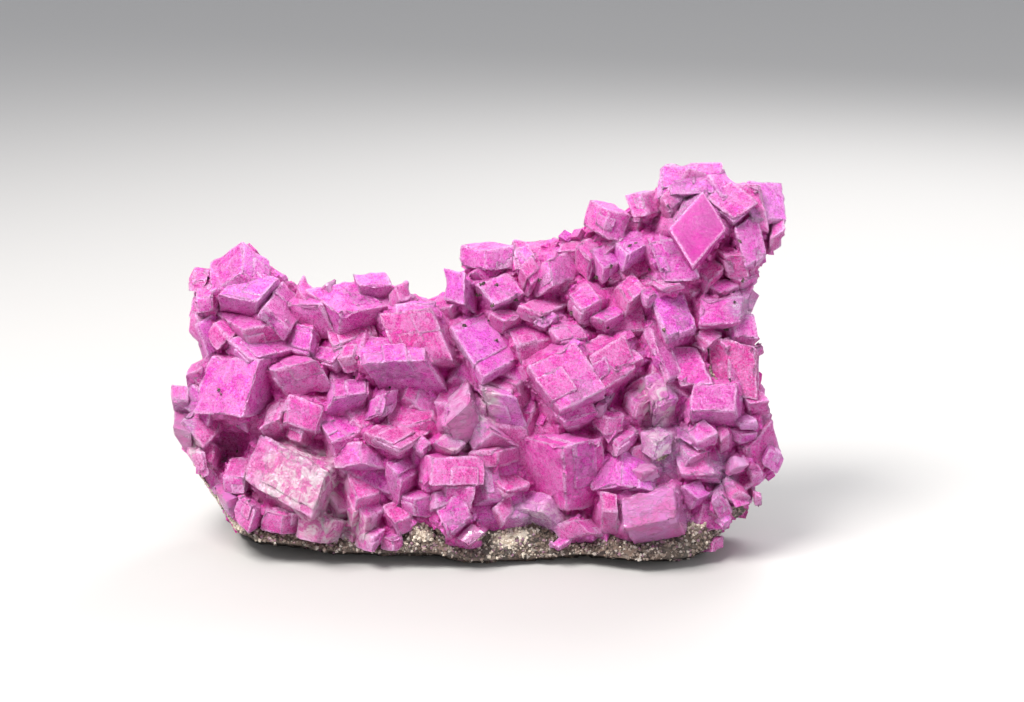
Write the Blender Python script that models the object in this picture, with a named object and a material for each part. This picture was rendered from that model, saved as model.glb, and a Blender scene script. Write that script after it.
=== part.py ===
"""A hand specimen of cobalt-bearing dolomite: pink rhombohedral crystals in a crust on a wedge of rock.

Lengths are in millimetres until the meshes are written in metres. +Z is up and the rock rests flat on z = 0.
The crystal-bearing front faces -Y. It leans back, and it is laid out on a chart: u runs across, v runs up the
lean, and lift stands out of it. The chart is drawn as seen by an eye at EYE_DISTANCE from it, so a point keeps
its u and v however deep it lies.
"""

import math
import random

import bmesh
import bpy
import numpy as np
from mathutils import Vector
from mathutils.geometry import delaunay_2d_cdt

MM = 0.001
LEAN = math.radians(15.0)
FRONT_Y = -14.0
EYE_DISTANCE = 194.0
EYE_U = 3.36
EYE_V = 22.16

CORNER_COSINE = 0.21
LONGEST_EDGE = 9.0
CRYSTAL_ROOT = 2.6
BLEND_RADIUS = 2.6

CRUST_THICKNESS = 2.4
CRUST_RIM_DEPTH = 8.0
GAP = 0.3
REST_CUT = 0.6
ROCK_REACH = 60.0
TOP_DEPTH = 10.0
BASE_DEPTH = 27.0
SHEET_SPACING = 3.4
ROCK_ROUGHNESS = 0.55

RIM_ROWS = (-2.2, -6.2)
RIM_SPACING = 6.4
RIM_EDGE = (3.4, 5.4)
RIM_TILT = 0.6

FILLER_SPACING = 3.9
FILLER_EDGE = (4.4, 6.4)
FILLER_RISE = 0.36
FILLER_TILT = 0.55
SEED = 41

PINK = (0.83, 0.22, 0.55, 1.0)
BROWN = (0.16, 0.12, 0.10, 1.0)

# Each crystal: its nearest corner, the far ends of the three edges that meet there, and the corner's lift.
LEFT_LOBE = (
    (-24.9, 30.4, -24.9, 33.6, -28.4, 28.2, -21.9, 28.4, 3.0),
    (-23.4, 27.3, -20.9, 29.9, -27.6, 28.1, -23.3, 25.2, 5.0),
    (-22.6, 26.8, -20.6, 29.6, -19.8, 24.3, -23.4, 25.6, 4.5),
    (-24.9, 24.3, -27.8, 26.2, -21.0, 25.2, -24.4, 22.9, 5.0),
    (-28.0, 28.0, -27.6, 30.0, -29.9, 27.7, -27.9, 26.2, 3.0),
    (-28.9, 24.6, -30.3, 26.6, -29.3, 22.2, -26.9, 25.2, 0.5),
    (-26.3, 23.4, -27.6, 24.9, -24.8, 24.4, -27.4, 22.3, 2.5),
    (-24.0, 21.2, -26.0, 23.0, -20.2, 22.2, -24.2, 20.2, 4.5),
    (-18.0, 21.6, -20.2, 22.2, -17.6, 24.2, -17.2, 20.6, 3.0),
    (-18.2, 27.3, -19.3, 28.9, -17.4, 28.6, -18.6, 26.3, 1.0),
)
LEFT_FLANK = (
    (-29.2, 20.3, -28.6, 21.6, -31.0, 19.6, -29.0, 18.9, 1.0),
    (-30.3, 13.6, -30.0, 16.4, -32.2, 14.2, -30.2, 10.6, 1.0),
    (-24.9, 15.2, -23.4, 20.2, -29.2, 15.6, -22.2, 15.8, 6.0),
    (-21.9, 20.1, -17.9, 21.0, -20.4, 17.6, -23.8, 21.3, 5.0),
    (-20.0, 17.7, -17.0, 16.6, -20.3, 15.2, -21.8, 16.4, 4.0),
    (-21.2, 14.9, -20.2, 17.4, -22.9, 14.2, -20.3, 13.4, 4.0),
    (-18.4, 14.6, -19.9, 15.2, -17.2, 13.9, -18.8, 12.8, 3.0),
    (-15.6, 12.6, -17.5, 15.6, -13.0, 13.6, -15.2, 11.0, 4.5),
    (-15.4, 17.2, -15.6, 19.8, -12.2, 17.6, -16.4, 15.4, 4.0),
    (-15.9, 9.6, -21.9, 12.9, -17.4, 5.5, -14.0, 8.6, 6.5),
    (-12.4, 10.4, -12.6, 12.3, -14.8, 9.9, -10.2, 9.8, 5.5),
    (-12.9, 6.6, -13.8, 9.0, -10.7, 7.2, -13.4, 4.0, 5.0),
    (-23.6, 5.4, -25.0, 6.9, -22.4, 5.8, -24.2, 3.3, 3.5),
    (-20.6, 4.9, -22.4, 5.6, -18.5, 5.2, -20.8, 3.1, 4.0),
    (-16.3, 4.6, -18.4, 5.2, -14.4, 4.4, -16.9, 2.5, 4.0),
    (-26.6, 6.4, -28.0, 8.0, -25.2, 6.9, -26.0, 4.4, 1.5),
    (-28.9, 11.6, -29.4, 13.8, -30.2, 11.0, -28.4, 9.2, 2.0),
    (-24.7, 8.9, -24.0, 10.6, -26.6, 8.9, -24.6, 7.4, 3.5),
    (-11.9, 4.6, -12.9, 6.0, -10.2, 5.4, -12.2, 2.2, 4.5),
    (-11.2, 2.6, -13.0, 3.4, -9.9, 3.6, -11.3, 0.9, 4.0),
    (-9.0, 4.0, -10.0, 5.5, -7.4, 4.8, -8.6, 2.8, 4.0),
    (-8.2, 8.4, -9.6, 10.2, -6.3, 9.6, -8.6, 6.0, 4.5),
    (-7.0, 6.6, -8.8, 7.2, -5.2, 7.0, -6.6, 4.9, 4.2),
)
SADDLE = (
    (-12.8, 29.0, -9.2, 29.1, -12.3, 27.0, -13.5, 30.4, 1.5),
    (-8.4, 27.2, -8.9, 29.0, -7.0, 27.9, -9.2, 26.4, 1.6),
    (-15.5, 22.6, -17.1, 27.2, -11.7, 23.8, -15.0, 21.4, 3.0),
    (-8.8, 25.7, -10.7, 25.9, -8.6, 27.0, -4.6, 26.2, 2.8),
    (-2.8, 21.1, -4.8, 25.8, -7.2, 20.5, -2.2, 20.7, 5.0),
    (-5.6, 21.2, -11.4, 20.8, -6.1, 23.5, -3.3, 17.9, 6.0),
    (-12.6, 21.8, -12.0, 24.1, -14.6, 21.4, -11.8, 20.6, 3.5),
    (-15.6, 20.9, -14.6, 22.0, -17.6, 21.4, -14.9, 20.0, 3.0),
    (-1.6, 27.0, -1.6, 30.4, -3.9, 27.6, -0.2, 25.8, 3.0),
    (0.4, 30.5, -2.2, 31.0, 0.6, 32.8, 3.5, 30.9, 1.8),
    (1.4, 27.0, -0.1, 28.8, 4.2, 28.0, 1.2, 25.9, 3.8),
    (0.3, 19.4, -2.5, 23.9, 4.1, 21.4, 0.2, 18.6, 6.0),
    (2.6, 25.2, 1.2, 26.0, 4.2, 25.8, 2.4, 24.0, 3.0),
    (3.8, 22.6, 3.0, 24.2, 7.0, 23.4, 4.2, 21.0, 4.2),
    (6.2, 21.6, 4.2, 22.4, 8.6, 21.6, 6.0, 20.4, 3.2),
)
HEART = (
    (3.3, 17.9, 0.6, 18.9, 4.6, 19.4, 4.2, 15.4, 3.5),
    (-1.0, 16.9, -1.4, 19.6, -3.7, 14.3, 0.6, 14.4, 6.5),
    (0.4, 17.9, 3.3, 17.4, 1.6, 14.4, 0.0, 18.6, 5.5),
    (1.4, 13.6, 0.0, 15.4, 3.8, 12.4, -0.4, 12.0, 5.5),
    (2.0, 11.6, 4.2, 12.4, -0.6, 11.6, 1.9, 10.2, 4.8),
    (-2.8, 11.6, -4.6, 12.4, -1.6, 12.6, -3.0, 10.4, 5.0),
    (-10.6, 15.4, -12.0, 14.8, -10.2, 17.3, -9.2, 15.8, 4.0),
    (-8.4, 11.9, -11.6, 13.4, -4.8, 13.9, -8.6, 11.2, 6.0),
    (-5.2, 8.0, -5.1, 10.5, -0.5, 8.1, -6.6, 8.6, 6.0),
    (-4.4, 5.6, -4.7, 7.1, -1.2, 6.4, -5.2, 5.2, 5.0),
    (-3.4, 2.7, -4.4, 5.0, -1.3, 4.4, -3.1, 2.2, 5.5),
    (-1.2, 1.7, -2.6, 2.6, 0.6, 3.2, -0.9, 1.3, 4.5),
    (0.9, 6.4, 0.4, 9.4, 2.4, 6.4, -0.4, 5.9, 3.5),
    (2.9, 7.4, 0.9, 8.9, 4.9, 8.0, 2.4, 6.6, 4.0),
    (2.5, 4.2, 1.7, 5.5, 3.6, 5.3, 2.2, 3.6, 2.5),
    (8.6, 12.1, 9.0, 6.5, 4.6, 13.2, 12.2, 12.8, 7.0),
    (6.6, 5.2, 4.0, 5.6, 8.6, 3.4, 7.2, 6.9, 3.5),
    (11.6, 3.0, 10.3, 4.3, 14.2, 2.9, 9.4, 2.3, 3.0),
)
RIGHT_SLOPE = (
    (4.0, 31.0, 3.5, 33.8, 10.1, 31.4, 3.8, 30.6, 1.5),
    (12.8, 34.0, 10.6, 35.3, 13.6, 36.9, 15.2, 33.6, 1.5),
    (7.6, 29.0, 7.2, 31.4, 9.9, 29.8, 5.9, 27.8, 3.6),
    (5.4, 29.0, 4.4, 30.8, 6.8, 30.2, 4.9, 27.6, 3.0),
    (11.6, 31.6, 10.2, 33.0, 13.4, 32.6, 11.4, 29.6, 2.6),
    (6.8, 24.9, 5.6, 25.4, 8.2, 25.8, 6.8, 24.2, 4.0),
    (6.6, 26.0, 4.4, 26.8, 9.0, 27.0, 6.2, 25.0, 3.8),
    (10.8, 26.4, 9.4, 27.8, 12.6, 27.4, 10.8, 24.6, 3.6),
    (8.6, 22.9, 7.6, 24.4, 11.0, 23.4, 8.0, 22.0, 5.0),
    (14.3, 20.1, 11.0, 22.2, 16.7, 21.2, 14.0, 19.2, 5.5),
    (8.3, 15.7, 5.6, 19.7, 12.4, 17.8, 8.2, 14.8, 7.0),
    (12.6, 17.9, 11.6, 20.9, 15.8, 19.9, 12.5, 17.0, 5.8),
    (8.8, 14.6, 7.2, 16.6, 11.8, 15.6, 9.0, 13.4, 5.0),
    (13.0, 16.4, 11.4, 16.3, 14.2, 17.9, 12.8, 15.2, 4.0),
    (16.6, 16.4, 15.4, 17.6, 18.3, 17.4, 16.3, 15.0, 5.0),
    (18.4, 16.2, 17.4, 18.9, 20.4, 17.0, 18.0, 13.8, 5.0),
    (18.4, 12.8, 17.1, 13.6, 20.0, 13.4, 18.3, 11.0, 4.6),
    (14.6, 12.4, 13.2, 13.6, 16.4, 13.6, 14.2, 10.9, 4.5),
    (14.8, 8.0, 14.9, 11.2, 12.2, 7.6, 18.0, 7.6, 6.0),
    (16.9, 9.4, 15.4, 9.9, 18.9, 10.0, 16.9, 8.2, 5.0),
    (15.0, 3.6, 14.8, 6.9, 20.6, 4.6, 16.6, 1.2, 6.5),
    (22.9, 6.6, 21.5, 7.8, 24.4, 7.2, 22.2, 5.8, 4.0),
    (25.4, 7.4, 25.2, 9.0, 24.4, 6.4, 26.4, 5.6, 3.2),
    (24.9, 9.2, 24.1, 11.4, 21.8, 9.2, 25.3, 8.4, 4.0),
    (21.9, 10.8, 21.0, 12.2, 23.6, 11.6, 21.2, 9.4, 4.0),
    (22.9, 12.5, 21.6, 13.7, 24.6, 13.4, 22.8, 11.6, 4.6),
    (22.0, 15.8, 22.2, 18.2, 25.9, 15.9, 22.6, 14.2, 5.0),
    (30.4, 12.0, 29.4, 14.4, 32.0, 10.9, 29.6, 10.2, 1.0),
    (27.2, 7.4, 26.1, 8.8, 28.4, 6.8, 26.4, 6.6, 3.0),
)
RIGHT_PEAK = (
    (19.6, 23.6, 18.0, 27.6, 22.2, 24.6, 19.6, 22.8, 5.0),
    (22.8, 24.8, 23.0, 27.2, 26.6, 25.0, 23.6, 24.2, 3.6),
    (26.8, 23.6, 26.4, 26.2, 29.1, 23.5, 26.2, 22.8, 2.4),
    (27.6, 27.4, 28.5, 29.0, 26.8, 26.6, 28.6, 26.4, 0.6),
    (24.2, 22.9, 23.0, 23.7, 25.4, 23.9, 23.6, 21.9, 3.0),
    (24.5, 18.7, 22.9, 22.0, 21.6, 18.6, 24.9, 18.0, 4.4),
    (19.9, 19.2, 18.1, 24.0, 21.4, 19.6, 19.4, 18.6, 5.0),
    (26.2, 18.4, 26.0, 21.8, 29.4, 18.6, 25.9, 17.8, 2.4),
    (17.6, 33.6, 20.7, 33.7, 17.4, 35.1, 19.0, 30.2, 4.6),
    (21.0, 29.3, 18.1, 31.0, 19.4, 28.7, 21.4, 28.8, 4.4),
    (22.3, 30.9, 19.8, 35.0, 25.9, 35.0, 22.3, 30.0, 7.0),
    (19.0, 38.5, 19.1, 41.7, 25.4, 38.8, 18.6, 38.0, 3.0),
    (25.6, 38.2, 23.9, 40.6, 27.3, 39.1, 25.4, 37.4, 2.8),
    (28.4, 36.0, 27.9, 40.1, 32.3, 35.9, 28.2, 35.4, 2.5),
    (27.8, 30.8, 26.7, 35.2, 30.2, 32.4, 27.6, 30.2, 3.2),
    (26.6, 36.0, 24.2, 37.9, 28.8, 37.4, 26.4, 35.2, 4.6),
    (30.6, 34.0, 30.4, 35.6, 32.0, 34.9, 30.2, 32.2, 1.2),
    (17.6, 36.4, 16.8, 38.7, 19.4, 36.8, 16.0, 36.2, 2.4),
    (20.2, 36.6, 19.2, 38.0, 21.2, 38.0, 19.9, 35.6, 3.6),
    (25.6, 32.2, 24.4, 33.2, 27.4, 32.2, 26.0, 30.2, 3.4),
    (15.4, 32.2, 14.0, 33.8, 17.4, 33.4, 15.0, 30.6, 3.0),
    (13.0, 30.8, 11.8, 32.4, 14.6, 31.6, 12.8, 29.4, 3.0),
    (15.6, 27.2, 14.4, 28.8, 17.2, 28.4, 15.2, 25.8, 3.6),
    (13.2, 25.2, 11.8, 25.8, 15.2, 26.2, 13.0, 24.2, 3.8),
    (24.0, 29.4, 22.8, 30.6, 25.4, 30.6, 23.6, 28.2, 2.6),
    (25.2, 28.2, 24.0, 28.9, 26.9, 28.9, 25.0, 27.3, 2.4),
    (27.6, 29.4, 26.2, 30.0, 29.3, 30.2, 27.4, 28.4, 2.0),
)

CRYSTALS = LEFT_LOBE + LEFT_FLANK + SADDLE + HEART + RIGHT_SLOPE + RIGHT_PEAK

# The specimen's limits on the chart, clockwise from the left. No crystal of the rim reaches past them.
LIMITS = (
    (-31.0, 25.1), (-30.1, 27.3), (-30.1, 29.8), (-28.4, 31.0), (-26.5, 32.2), (-24.8, 33.9), (-23.0, 32.9),
    (-22.0, 31.4), (-19.9, 29.9), (-17.0, 28.0), (-15.0, 29.4), (-13.3, 30.5), (-10.0, 30.2), (-7.6, 29.1),
    (-5.5, 27.8), (-3.2, 29.0), (-2.2, 31.5), (1.8, 33.1), (3.4, 33.8), (7.5, 34.45), (9.8, 34.2), (13.0, 36.9),
    (15.3, 37.3), (18.5, 38.6), (19.1, 41.7), (23.0, 42.2), (25.3, 41.7), (28.0, 40.1), (31.8, 40.2), (32.4, 36.0),
    (30.2, 32.0), (29.0, 29.0), (28.4, 25.6), (29.9, 22.8), (29.2, 21.2), (29.6, 18.5), (30.6, 17.3), (31.2, 13.5),
    (32.0, 10.5), (29.5, 8.3), (29.8, 6.2), (26.6, 4.5), (25.2, 1.5), (21.9, 0.4), (14.0, 0.0), (3.8, 0.0),
    (-5.0, 1.0), (-15.0, 1.0), (-23.0, 2.1), (-26.0, 3.1), (-29.2, 8.5), (-31.2, 11.0), (-32.4, 13.5),
    (-32.4, 17.4), (-30.9, 18.6), (-29.3, 21.0), (-29.8, 23.2),
)

# The crust's edge on the chart, a little inside those limits, and the rock's edge inside that.
CRUST_EDGE = (
    (-29.0, 25.0), (-28.6, 28.0), (-26.6, 30.2), (-24.5, 31.4), (-21.8, 29.4), (-18.5, 27.0), (-15.0, 27.2),
    (-11.5, 28.2), (-8.2, 27.0), (-5.4, 25.8), (-2.4, 27.6), (-0.6, 30.4), (3.0, 31.0), (7.0, 32.4), (10.8, 33.0),
    (14.0, 34.8), (17.2, 36.4), (20.0, 39.2), (24.0, 39.6), (27.4, 37.6), (29.8, 37.4), (30.2, 35.0), (28.2, 31.6),
    (27.2, 28.6), (26.8, 25.4), (27.4, 22.6), (27.4, 19.4), (28.6, 16.6), (29.4, 13.4), (29.8, 10.8), (27.8, 8.4),
    (27.4, 6.0), (25.6, 3.8), (24.0, 1.4), (21.5, 0.4), (17.0, 0.2), (11.0, 0.8), (5.0, 0.3), (-1.0, 0.1),
    (-5.0, 0.9), (-10.0, 0.9), (-15.0, 1.0), (-19.0, 1.7), (-23.0, 2.1), (-25.6, 3.2), (-26.8, 6.0), (-28.0, 9.0),
    (-29.6, 12.0), (-30.0, 15.0), (-29.2, 18.0), (-28.0, 20.6), (-27.6, 22.8),
)
ROCK_EDGE = (
    (-26.2, 25.0), (-25.6, 27.4), (-23.8, 28.2), (-20.5, 25.4), (-15.5, 24.4), (-11.0, 25.0), (-6.0, 23.2),
    (-1.0, 24.8), (2.0, 27.8), (7.0, 29.0), (11.0, 29.8), (15.0, 31.6), (18.6, 33.6), (21.4, 36.0), (24.4, 36.2),
    (27.0, 34.4), (25.4, 31.0), (24.2, 27.6), (23.8, 24.0), (24.6, 20.0), (25.8, 16.0), (26.6, 12.6), (25.6, 9.6),
    (25.8, 6.6), (25.6, 3.8), (24.0, 1.4), (21.5, 0.4), (17.0, 0.2), (11.0, 0.8), (5.0, 0.3), (-1.0, 0.1),
    (-5.0, 0.9), (-10.0, 0.9), (-15.0, 1.0), (-19.0, 1.7), (-23.0, 2.1), (-25.6, 3.2), (-26.8, 6.0), (-27.6, 9.0),
    (-27.4, 12.0), (-26.8, 15.4), (-26.0, 18.4), (-25.2, 21.0), (-25.4, 23.2),
)

# The height at which the crust stops above the bare rock of the foot, across the front.
FOOT_LINE = (
    (-33.0, 12.0), (-29.5, 10.8), (-27.5, 7.6), (-26.0, 4.8), (-23.0, 3.2), (-18.0, 2.4), (-12.0, 1.7), (-8.6, 2.0),
    (-7.2, 3.9), (-4.6, 3.9), (-3.4, 1.7), (0.0, 1.3), (1.4, 3.6), (5.0, 3.8), (8.0, 3.0), (9.5, 1.5), (12.0, 2.2),
    (16.0, 2.2), (18.0, 1.3), (20.0, 3.4), (24.0, 3.9), (26.0, 4.8), (27.5, 5.8), (33.0, 7.0),
)

# Hollows between the crystals: where, how wide and how deep.
HOLLOWS = (
    (-26.0, 11.8, 3.2, 4.0), (-16.8, 23.0, 1.2, 1.5), (-17.2, 12.0, 1.0, 1.5), (-11.4, 19.6, 1.3, 1.2),
    (-3.1, 19.9, 1.3, 1.5), (-5.6, 11.0, 0.9, 1.5), (5.2, 16.2, 1.2, 2.0), (4.4, 7.0, 0.9, 1.2),
    (0.7, 4.8, 0.9, 1.2), (11.6, 6.3, 1.6, 2.5), (9.2, 4.8, 0.8, 1.2), (15.0, 17.4, 0.9, 1.2),
    (16.7, 30.1, 0.9, 1.5), (22.3, 25.5, 0.9, 1.4), (21.5, 17.2, 0.9, 1.5), (24.9, 20.3, 0.9, 1.2),
)


def axes():
    """The chart's directions: across, up the lean and out of it."""
    across = np.array((1.0, 0.0, 0.0))
    up_lean = np.array((0.0, math.sin(LEAN), math.cos(LEAN)))
    outward = np.array((0.0, -math.cos(LEAN), math.sin(LEAN)))
    return across, up_lean, outward


def chart_point(u, v):
    """A point of the leaning plane itself."""
    across, up_lean, _ = axes()
    return np.array((0.0, FRONT_Y, 0.0)) + u * across + v * up_lean


def eye_point():
    """The eye that the chart is drawn from."""
    return chart_point(EYE_U, EYE_V) + EYE_DISTANCE * axes()[2]


def place(u, v, lift):
    """The point that stands lift out of the plane and is seen at u and v."""
    eye = eye_point()
    return eye + (chart_point(u, v) - eye) * (1.0 - lift / EYE_DISTANCE)


def seen_at(point):
    """The u and v at which a point is seen."""
    across, up_lean, outward = axes()
    eye = eye_point()
    ray = point - eye
    ray = ray * (EYE_DISTANCE / -ray.dot(outward))
    hit = eye + ray - np.array((0.0, FRONT_Y, 0.0))
    return hit.dot(across), hit.dot(up_lean)


def angle_error(edges, signs):
    """How far three edges are from a rhombohedron's corner, for every trial depth at once."""
    lengths = [np.linalg.norm(edge, axis=-1) for edge in edges]
    error = 0.05 * np.var(lengths, axis=0) / np.mean(lengths, axis=0) ** 2
    for first, second, sign in ((0, 1, signs[2]), (1, 2, signs[0]), (0, 2, signs[1])):
        cosine = (edges[first] * edges[second]).sum(axis=-1) / (lengths[first] * lengths[second])
        error = error + (cosine - sign * CORNER_COSINE) ** 2
    return error


def best_depths(starts, rays, centre, spread, signs):
    """The best of a block of trial depths around a centre."""
    steps = [np.clip(np.linspace(c - spread, c + spread, 13), 0.05, LONGEST_EDGE) for c in centre]
    trials = np.stack(np.meshgrid(*steps, indexing="ij"), axis=-1).reshape(-1, 3)
    edges = [starts[k] + trials[:, k:k + 1] * rays[k] for k in range(3)]
    error = angle_error(edges, signs)
    best = int(np.argmin(error))
    return trials[best], float(error[best])


def corner_edges(row):
    """The nearest corner and three edges of a crystal, at the depths that make it most nearly a rhombohedron."""
    lift = row[8]
    nearest = place(row[0], row[1], lift)
    ends = ((row[2], row[3]), (row[4], row[5]), (row[6], row[7]))
    starts = [place(u, v, lift) - nearest for u, v in ends]
    rays = [(chart_point(u, v) - eye_point()) / EYE_DISTANCE for u, v in ends]
    found = []
    for signs in ((-1, -1, -1), (-1, 1, 1), (1, -1, 1), (1, 1, -1)):
        depths = (4.5, 4.5, 4.5)
        for spread in (4.5, 1.0, 0.2):
            depths, error = best_depths(starts, rays, depths, spread, signs)
        found.append((error, tuple(depths)))
    depths = min(found)[1]
    return nearest, [starts[k] + depths[k] * rays[k] for k in range(3)]


def block_corners(nearest, edges):
    """The eight corners of the block with these edges."""
    corners = []
    for index in range(8):
        corner = nearest.copy()
        for bit in range(3):
            if index >> bit & 1:
                corner = corner + edges[bit]
        corners.append(corner)
    return corners


def closed_mesh(name, points, faces):
    """A closed mesh whose faces look outward."""
    mesh = bpy.data.meshes.new(name)
    mesh.from_pydata([tuple(point) for point in points], [], faces)
    shape = bmesh.new()
    shape.from_mesh(mesh)
    bmesh.ops.recalc_face_normals(shape, faces=shape.faces)
    if shape.calc_volume(signed=True) < 0.0:
        bmesh.ops.reverse_faces(shape, faces=shape.faces)
    bmesh.ops.triangulate(shape, faces=shape.faces)
    shape.to_mesh(mesh)
    shape.free()
    return mesh


def block_mesh(nearest, edges):
    """A crystal as a block with six flat faces."""
    faces = ((0, 1, 3, 2), (4, 6, 7, 5), (0, 4, 5, 1), (2, 3, 7, 6), (0, 2, 6, 4), (1, 5, 7, 3))
    return closed_mesh("block", block_corners(nearest, edges), faces)


def inside(u, v, loop):
    """Whether a chart point lies inside a loop."""
    hit = False
    for (au, av), (bu, bv) in zip(loop, loop[1:] + loop[:1]):
        if (av > v) != (bv > v) and u < au + (bu - au) * (v - av) / (bv - av):
            hit = not hit
    return hit


def distance_to(u, v, loop):
    """The distance from a chart point to a loop."""
    nearest = 1e9
    for (au, av), (bu, bv) in zip(loop, loop[1:] + loop[:1]):
        along = ((u - au) * (bu - au) + (v - av) * (bv - av)) / ((bu - au) ** 2 + (bv - av) ** 2)
        along = min(1.0, max(0.0, along))
        nearest = min(nearest, math.hypot(u - au - along * (bu - au), v - av - along * (bv - av)))
    return nearest


def outward_of(loop, index):
    """The outward direction on the chart at a point of a clockwise loop."""
    before = loop[index - 1]
    after = loop[(index + 1) % len(loop)]
    du = after[0] - before[0]
    dv = after[1] - before[1]
    size = math.hypot(du, dv)
    return -dv / size, du / size


def crust_lift(u, v):
    """The level at which the crystals grow together, lower in the hollows."""
    corners = np.array([(row[0], row[1], row[8]) for row in CRYSTALS])
    squares = (corners[:, 0] - u) ** 2 + (corners[:, 1] - v) ** 2
    weights = np.exp(-squares / (2.0 * BLEND_RADIUS ** 2)) + 1e-9
    lift = float((weights * corners[:, 2]).sum() / weights.sum()) - CRYSTAL_ROOT
    for pit_u, pit_v, radius, depth in HOLLOWS:
        lift -= depth * math.exp(-((u - pit_u) ** 2 + (v - pit_v) ** 2) / (2.0 * (0.7 * radius) ** 2))
    return lift


def floor_lift(v):
    """The lift at which a point seen at v lies just under the floor."""
    return -(v + 0.3) / math.tan(LEAN)


def border_lift(u, v):
    """The lift of the front along an edge: it dips under the floor at the foot and falls back beside it."""
    lift = crust_lift(u, v) - 0.8
    if v < 3.0 and abs(u) < 27.0:
        return min(lift, floor_lift(v))
    return lift - 7.0 * max(0.0, 1.0 - v / 10.0) ** 1.5


def foot_height(u):
    """The height of the crust's lower edge at u."""
    return float(np.interp(u, [point[0] for point in FOOT_LINE], [point[1] for point in FOOT_LINE]))


def sheet_points(loop, rng):
    """Points that fill a loop: the loop itself, then a jittered grid inside it."""
    points = list(loop)
    rows = int(44.0 / SHEET_SPACING) + 1
    columns = int(66.0 / SHEET_SPACING) + 1
    for row in range(rows):
        for column in range(columns):
            u = -32.0 + SHEET_SPACING * (column + 0.5 * (row % 2)) + rng.uniform(-0.7, 0.7)
            v = SHEET_SPACING * row + rng.uniform(-0.7, 0.7)
            if inside(u, v, loop) and distance_to(u, v, loop) > 0.5 * SHEET_SPACING:
                points.append((u, v))
    return points


def sheet_triangles(points, count):
    """Triangles that join the points inside the loop made by the first of them."""
    flat = [Vector(point) for point in points]
    result = delaunay_2d_cdt(flat, [], [list(range(count))], 1, 1e-6)
    sources = [source[0] for source in result[3]]
    return [[sources[index] for index in face] for face in result[2]]


def slab(name, points, count, triangles, fronts, backs):
    """A closed body between a front sheet and a back sheet, with a wall around its edge."""
    total = len(points)
    corners = [place(u, v, lift) for (u, v), lift in zip(points, fronts)]
    corners += [place(u, v, lift) for (u, v), lift in zip(points, backs)]
    faces = [list(face) for face in triangles]
    faces += [[index + total for index in reversed(face)] for face in triangles]
    for index in range(count):
        after = (index + 1) % count
        faces.append([after, index, index + total, after + total])
    return closed_mesh(name, corners, faces)


def rock_front(u, v):
    """The rock's front: behind the crust above the foot line, and bare in front of it below."""
    rise = min(1.0, max(0.0, (v - foot_height(u)) / 1.4))
    return crust_lift(u, v) - 0.4 - (CRUST_THICKNESS - 0.4) * rise * rise * (3.0 - 2.0 * rise)


def rock_back(u, v):
    """The rock's back: deep at the base and shallow at the crest, rounded off towards its edge."""
    rise = min(1.0, max(0.0, v / 36.0))
    deep = TOP_DEPTH + (BASE_DEPTH - TOP_DEPTH) * (1.0 - rise) ** 0.8
    inward = min(1.0, distance_to(u, v, ROCK_EDGE) / 6.0)
    if v < 6.0 and abs(u) < 22.0:
        inward = 1.0
    return -(CRUST_RIM_DEPTH + (deep - CRUST_RIM_DEPTH) * math.sqrt(inward))


def rock_meshes(rng):
    """The rock, and the same body grown by the gap and run out behind, which the crust is cut with."""
    loop = list(ROCK_EDGE)
    count = len(loop)
    points = sheet_points(loop, rng)
    triangles = sheet_triangles(points, count)
    rough = [rng.uniform(-ROCK_ROUGHNESS, ROCK_ROUGHNESS) for _ in points]
    fronts = [rock_front(u, v) + 0.4 * bump for (u, v), bump in zip(points, rough)]
    for index, (u, v) in enumerate(loop):
        fronts[index] = min(rock_front(u, v), border_lift(u, v))
    backs = [rock_back(u, v) + 1.6 * bump for (u, v), bump in zip(points, reversed(rough))]
    backs[:count] = [rock_back(u, v) for u, v in loop]
    backs = [min(back, front - 2.0) for back, front in zip(backs, fronts)]
    rock = slab("rock", points, count, triangles, fronts, backs)
    grown = list(points)
    for index in range(count):
        du, dv = outward_of(loop, index)
        grown[index] = (loop[index][0] + 1.4 * GAP * du, loop[index][1] + 1.4 * GAP * dv)
    fronts = [lift + 1.4 * GAP for lift in fronts]
    cutter = slab("cutter", grown, count, triangles, fronts, [-ROCK_REACH] * len(grown))
    return rock, cutter


def crust_mesh(rng):
    """The layer that the crystals stand on, as a plate that the rock is later cut out of."""
    loop = list(CRUST_EDGE)
    count = len(loop)
    points = sheet_points(loop, rng)
    triangles = sheet_triangles(points, count)
    fronts = [crust_lift(u, v) + rng.uniform(-0.25, 0.25) for u, v in points]
    for index, (u, v) in enumerate(loop):
        fronts[index] = border_lift(u, v)
    backs = [min(fronts[k] - 1.0, -CRUST_RIM_DEPTH + rng.uniform(-0.8, 0.8)) for k in range(len(points))]
    return slab("crust", points, count, triangles, fronts, backs)


def rim_crystal(u, v, lift, direction, size, rng):
    """A rhombohedron at the crust's edge with one corner pointing outward."""
    across, up_lean, outward = axes()
    axis = direction[0] * across + direction[1] * up_lean
    tilt = np.array([rng.uniform(-RIM_TILT, RIM_TILT) for _ in range(3)])
    axis = axis + tilt - 0.25 * outward
    axis = axis / np.linalg.norm(axis)
    side = np.cross(axis, outward)
    side = side / np.linalg.norm(side)
    other = np.cross(axis, side)
    turn = rng.uniform(0.0, 2.0 * math.pi)
    edges = []
    for step in range(3):
        angle = turn + step * 2.0 * math.pi / 3.0
        flat = math.cos(angle) * side + math.sin(angle) * other
        edges.append(size * rng.uniform(0.8, 1.15) * (0.898 * flat - 0.44 * axis))
    return place(u, v, lift) + 0.42 * size * axis, edges


def within_limits(nearest, edges):
    """Whether every corner of a block is seen inside the specimen's limits."""
    for corner in block_corners(nearest, edges):
        u, v = seen_at(corner)
        if not inside(u, v, LIMITS):
            return False
    return True


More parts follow.
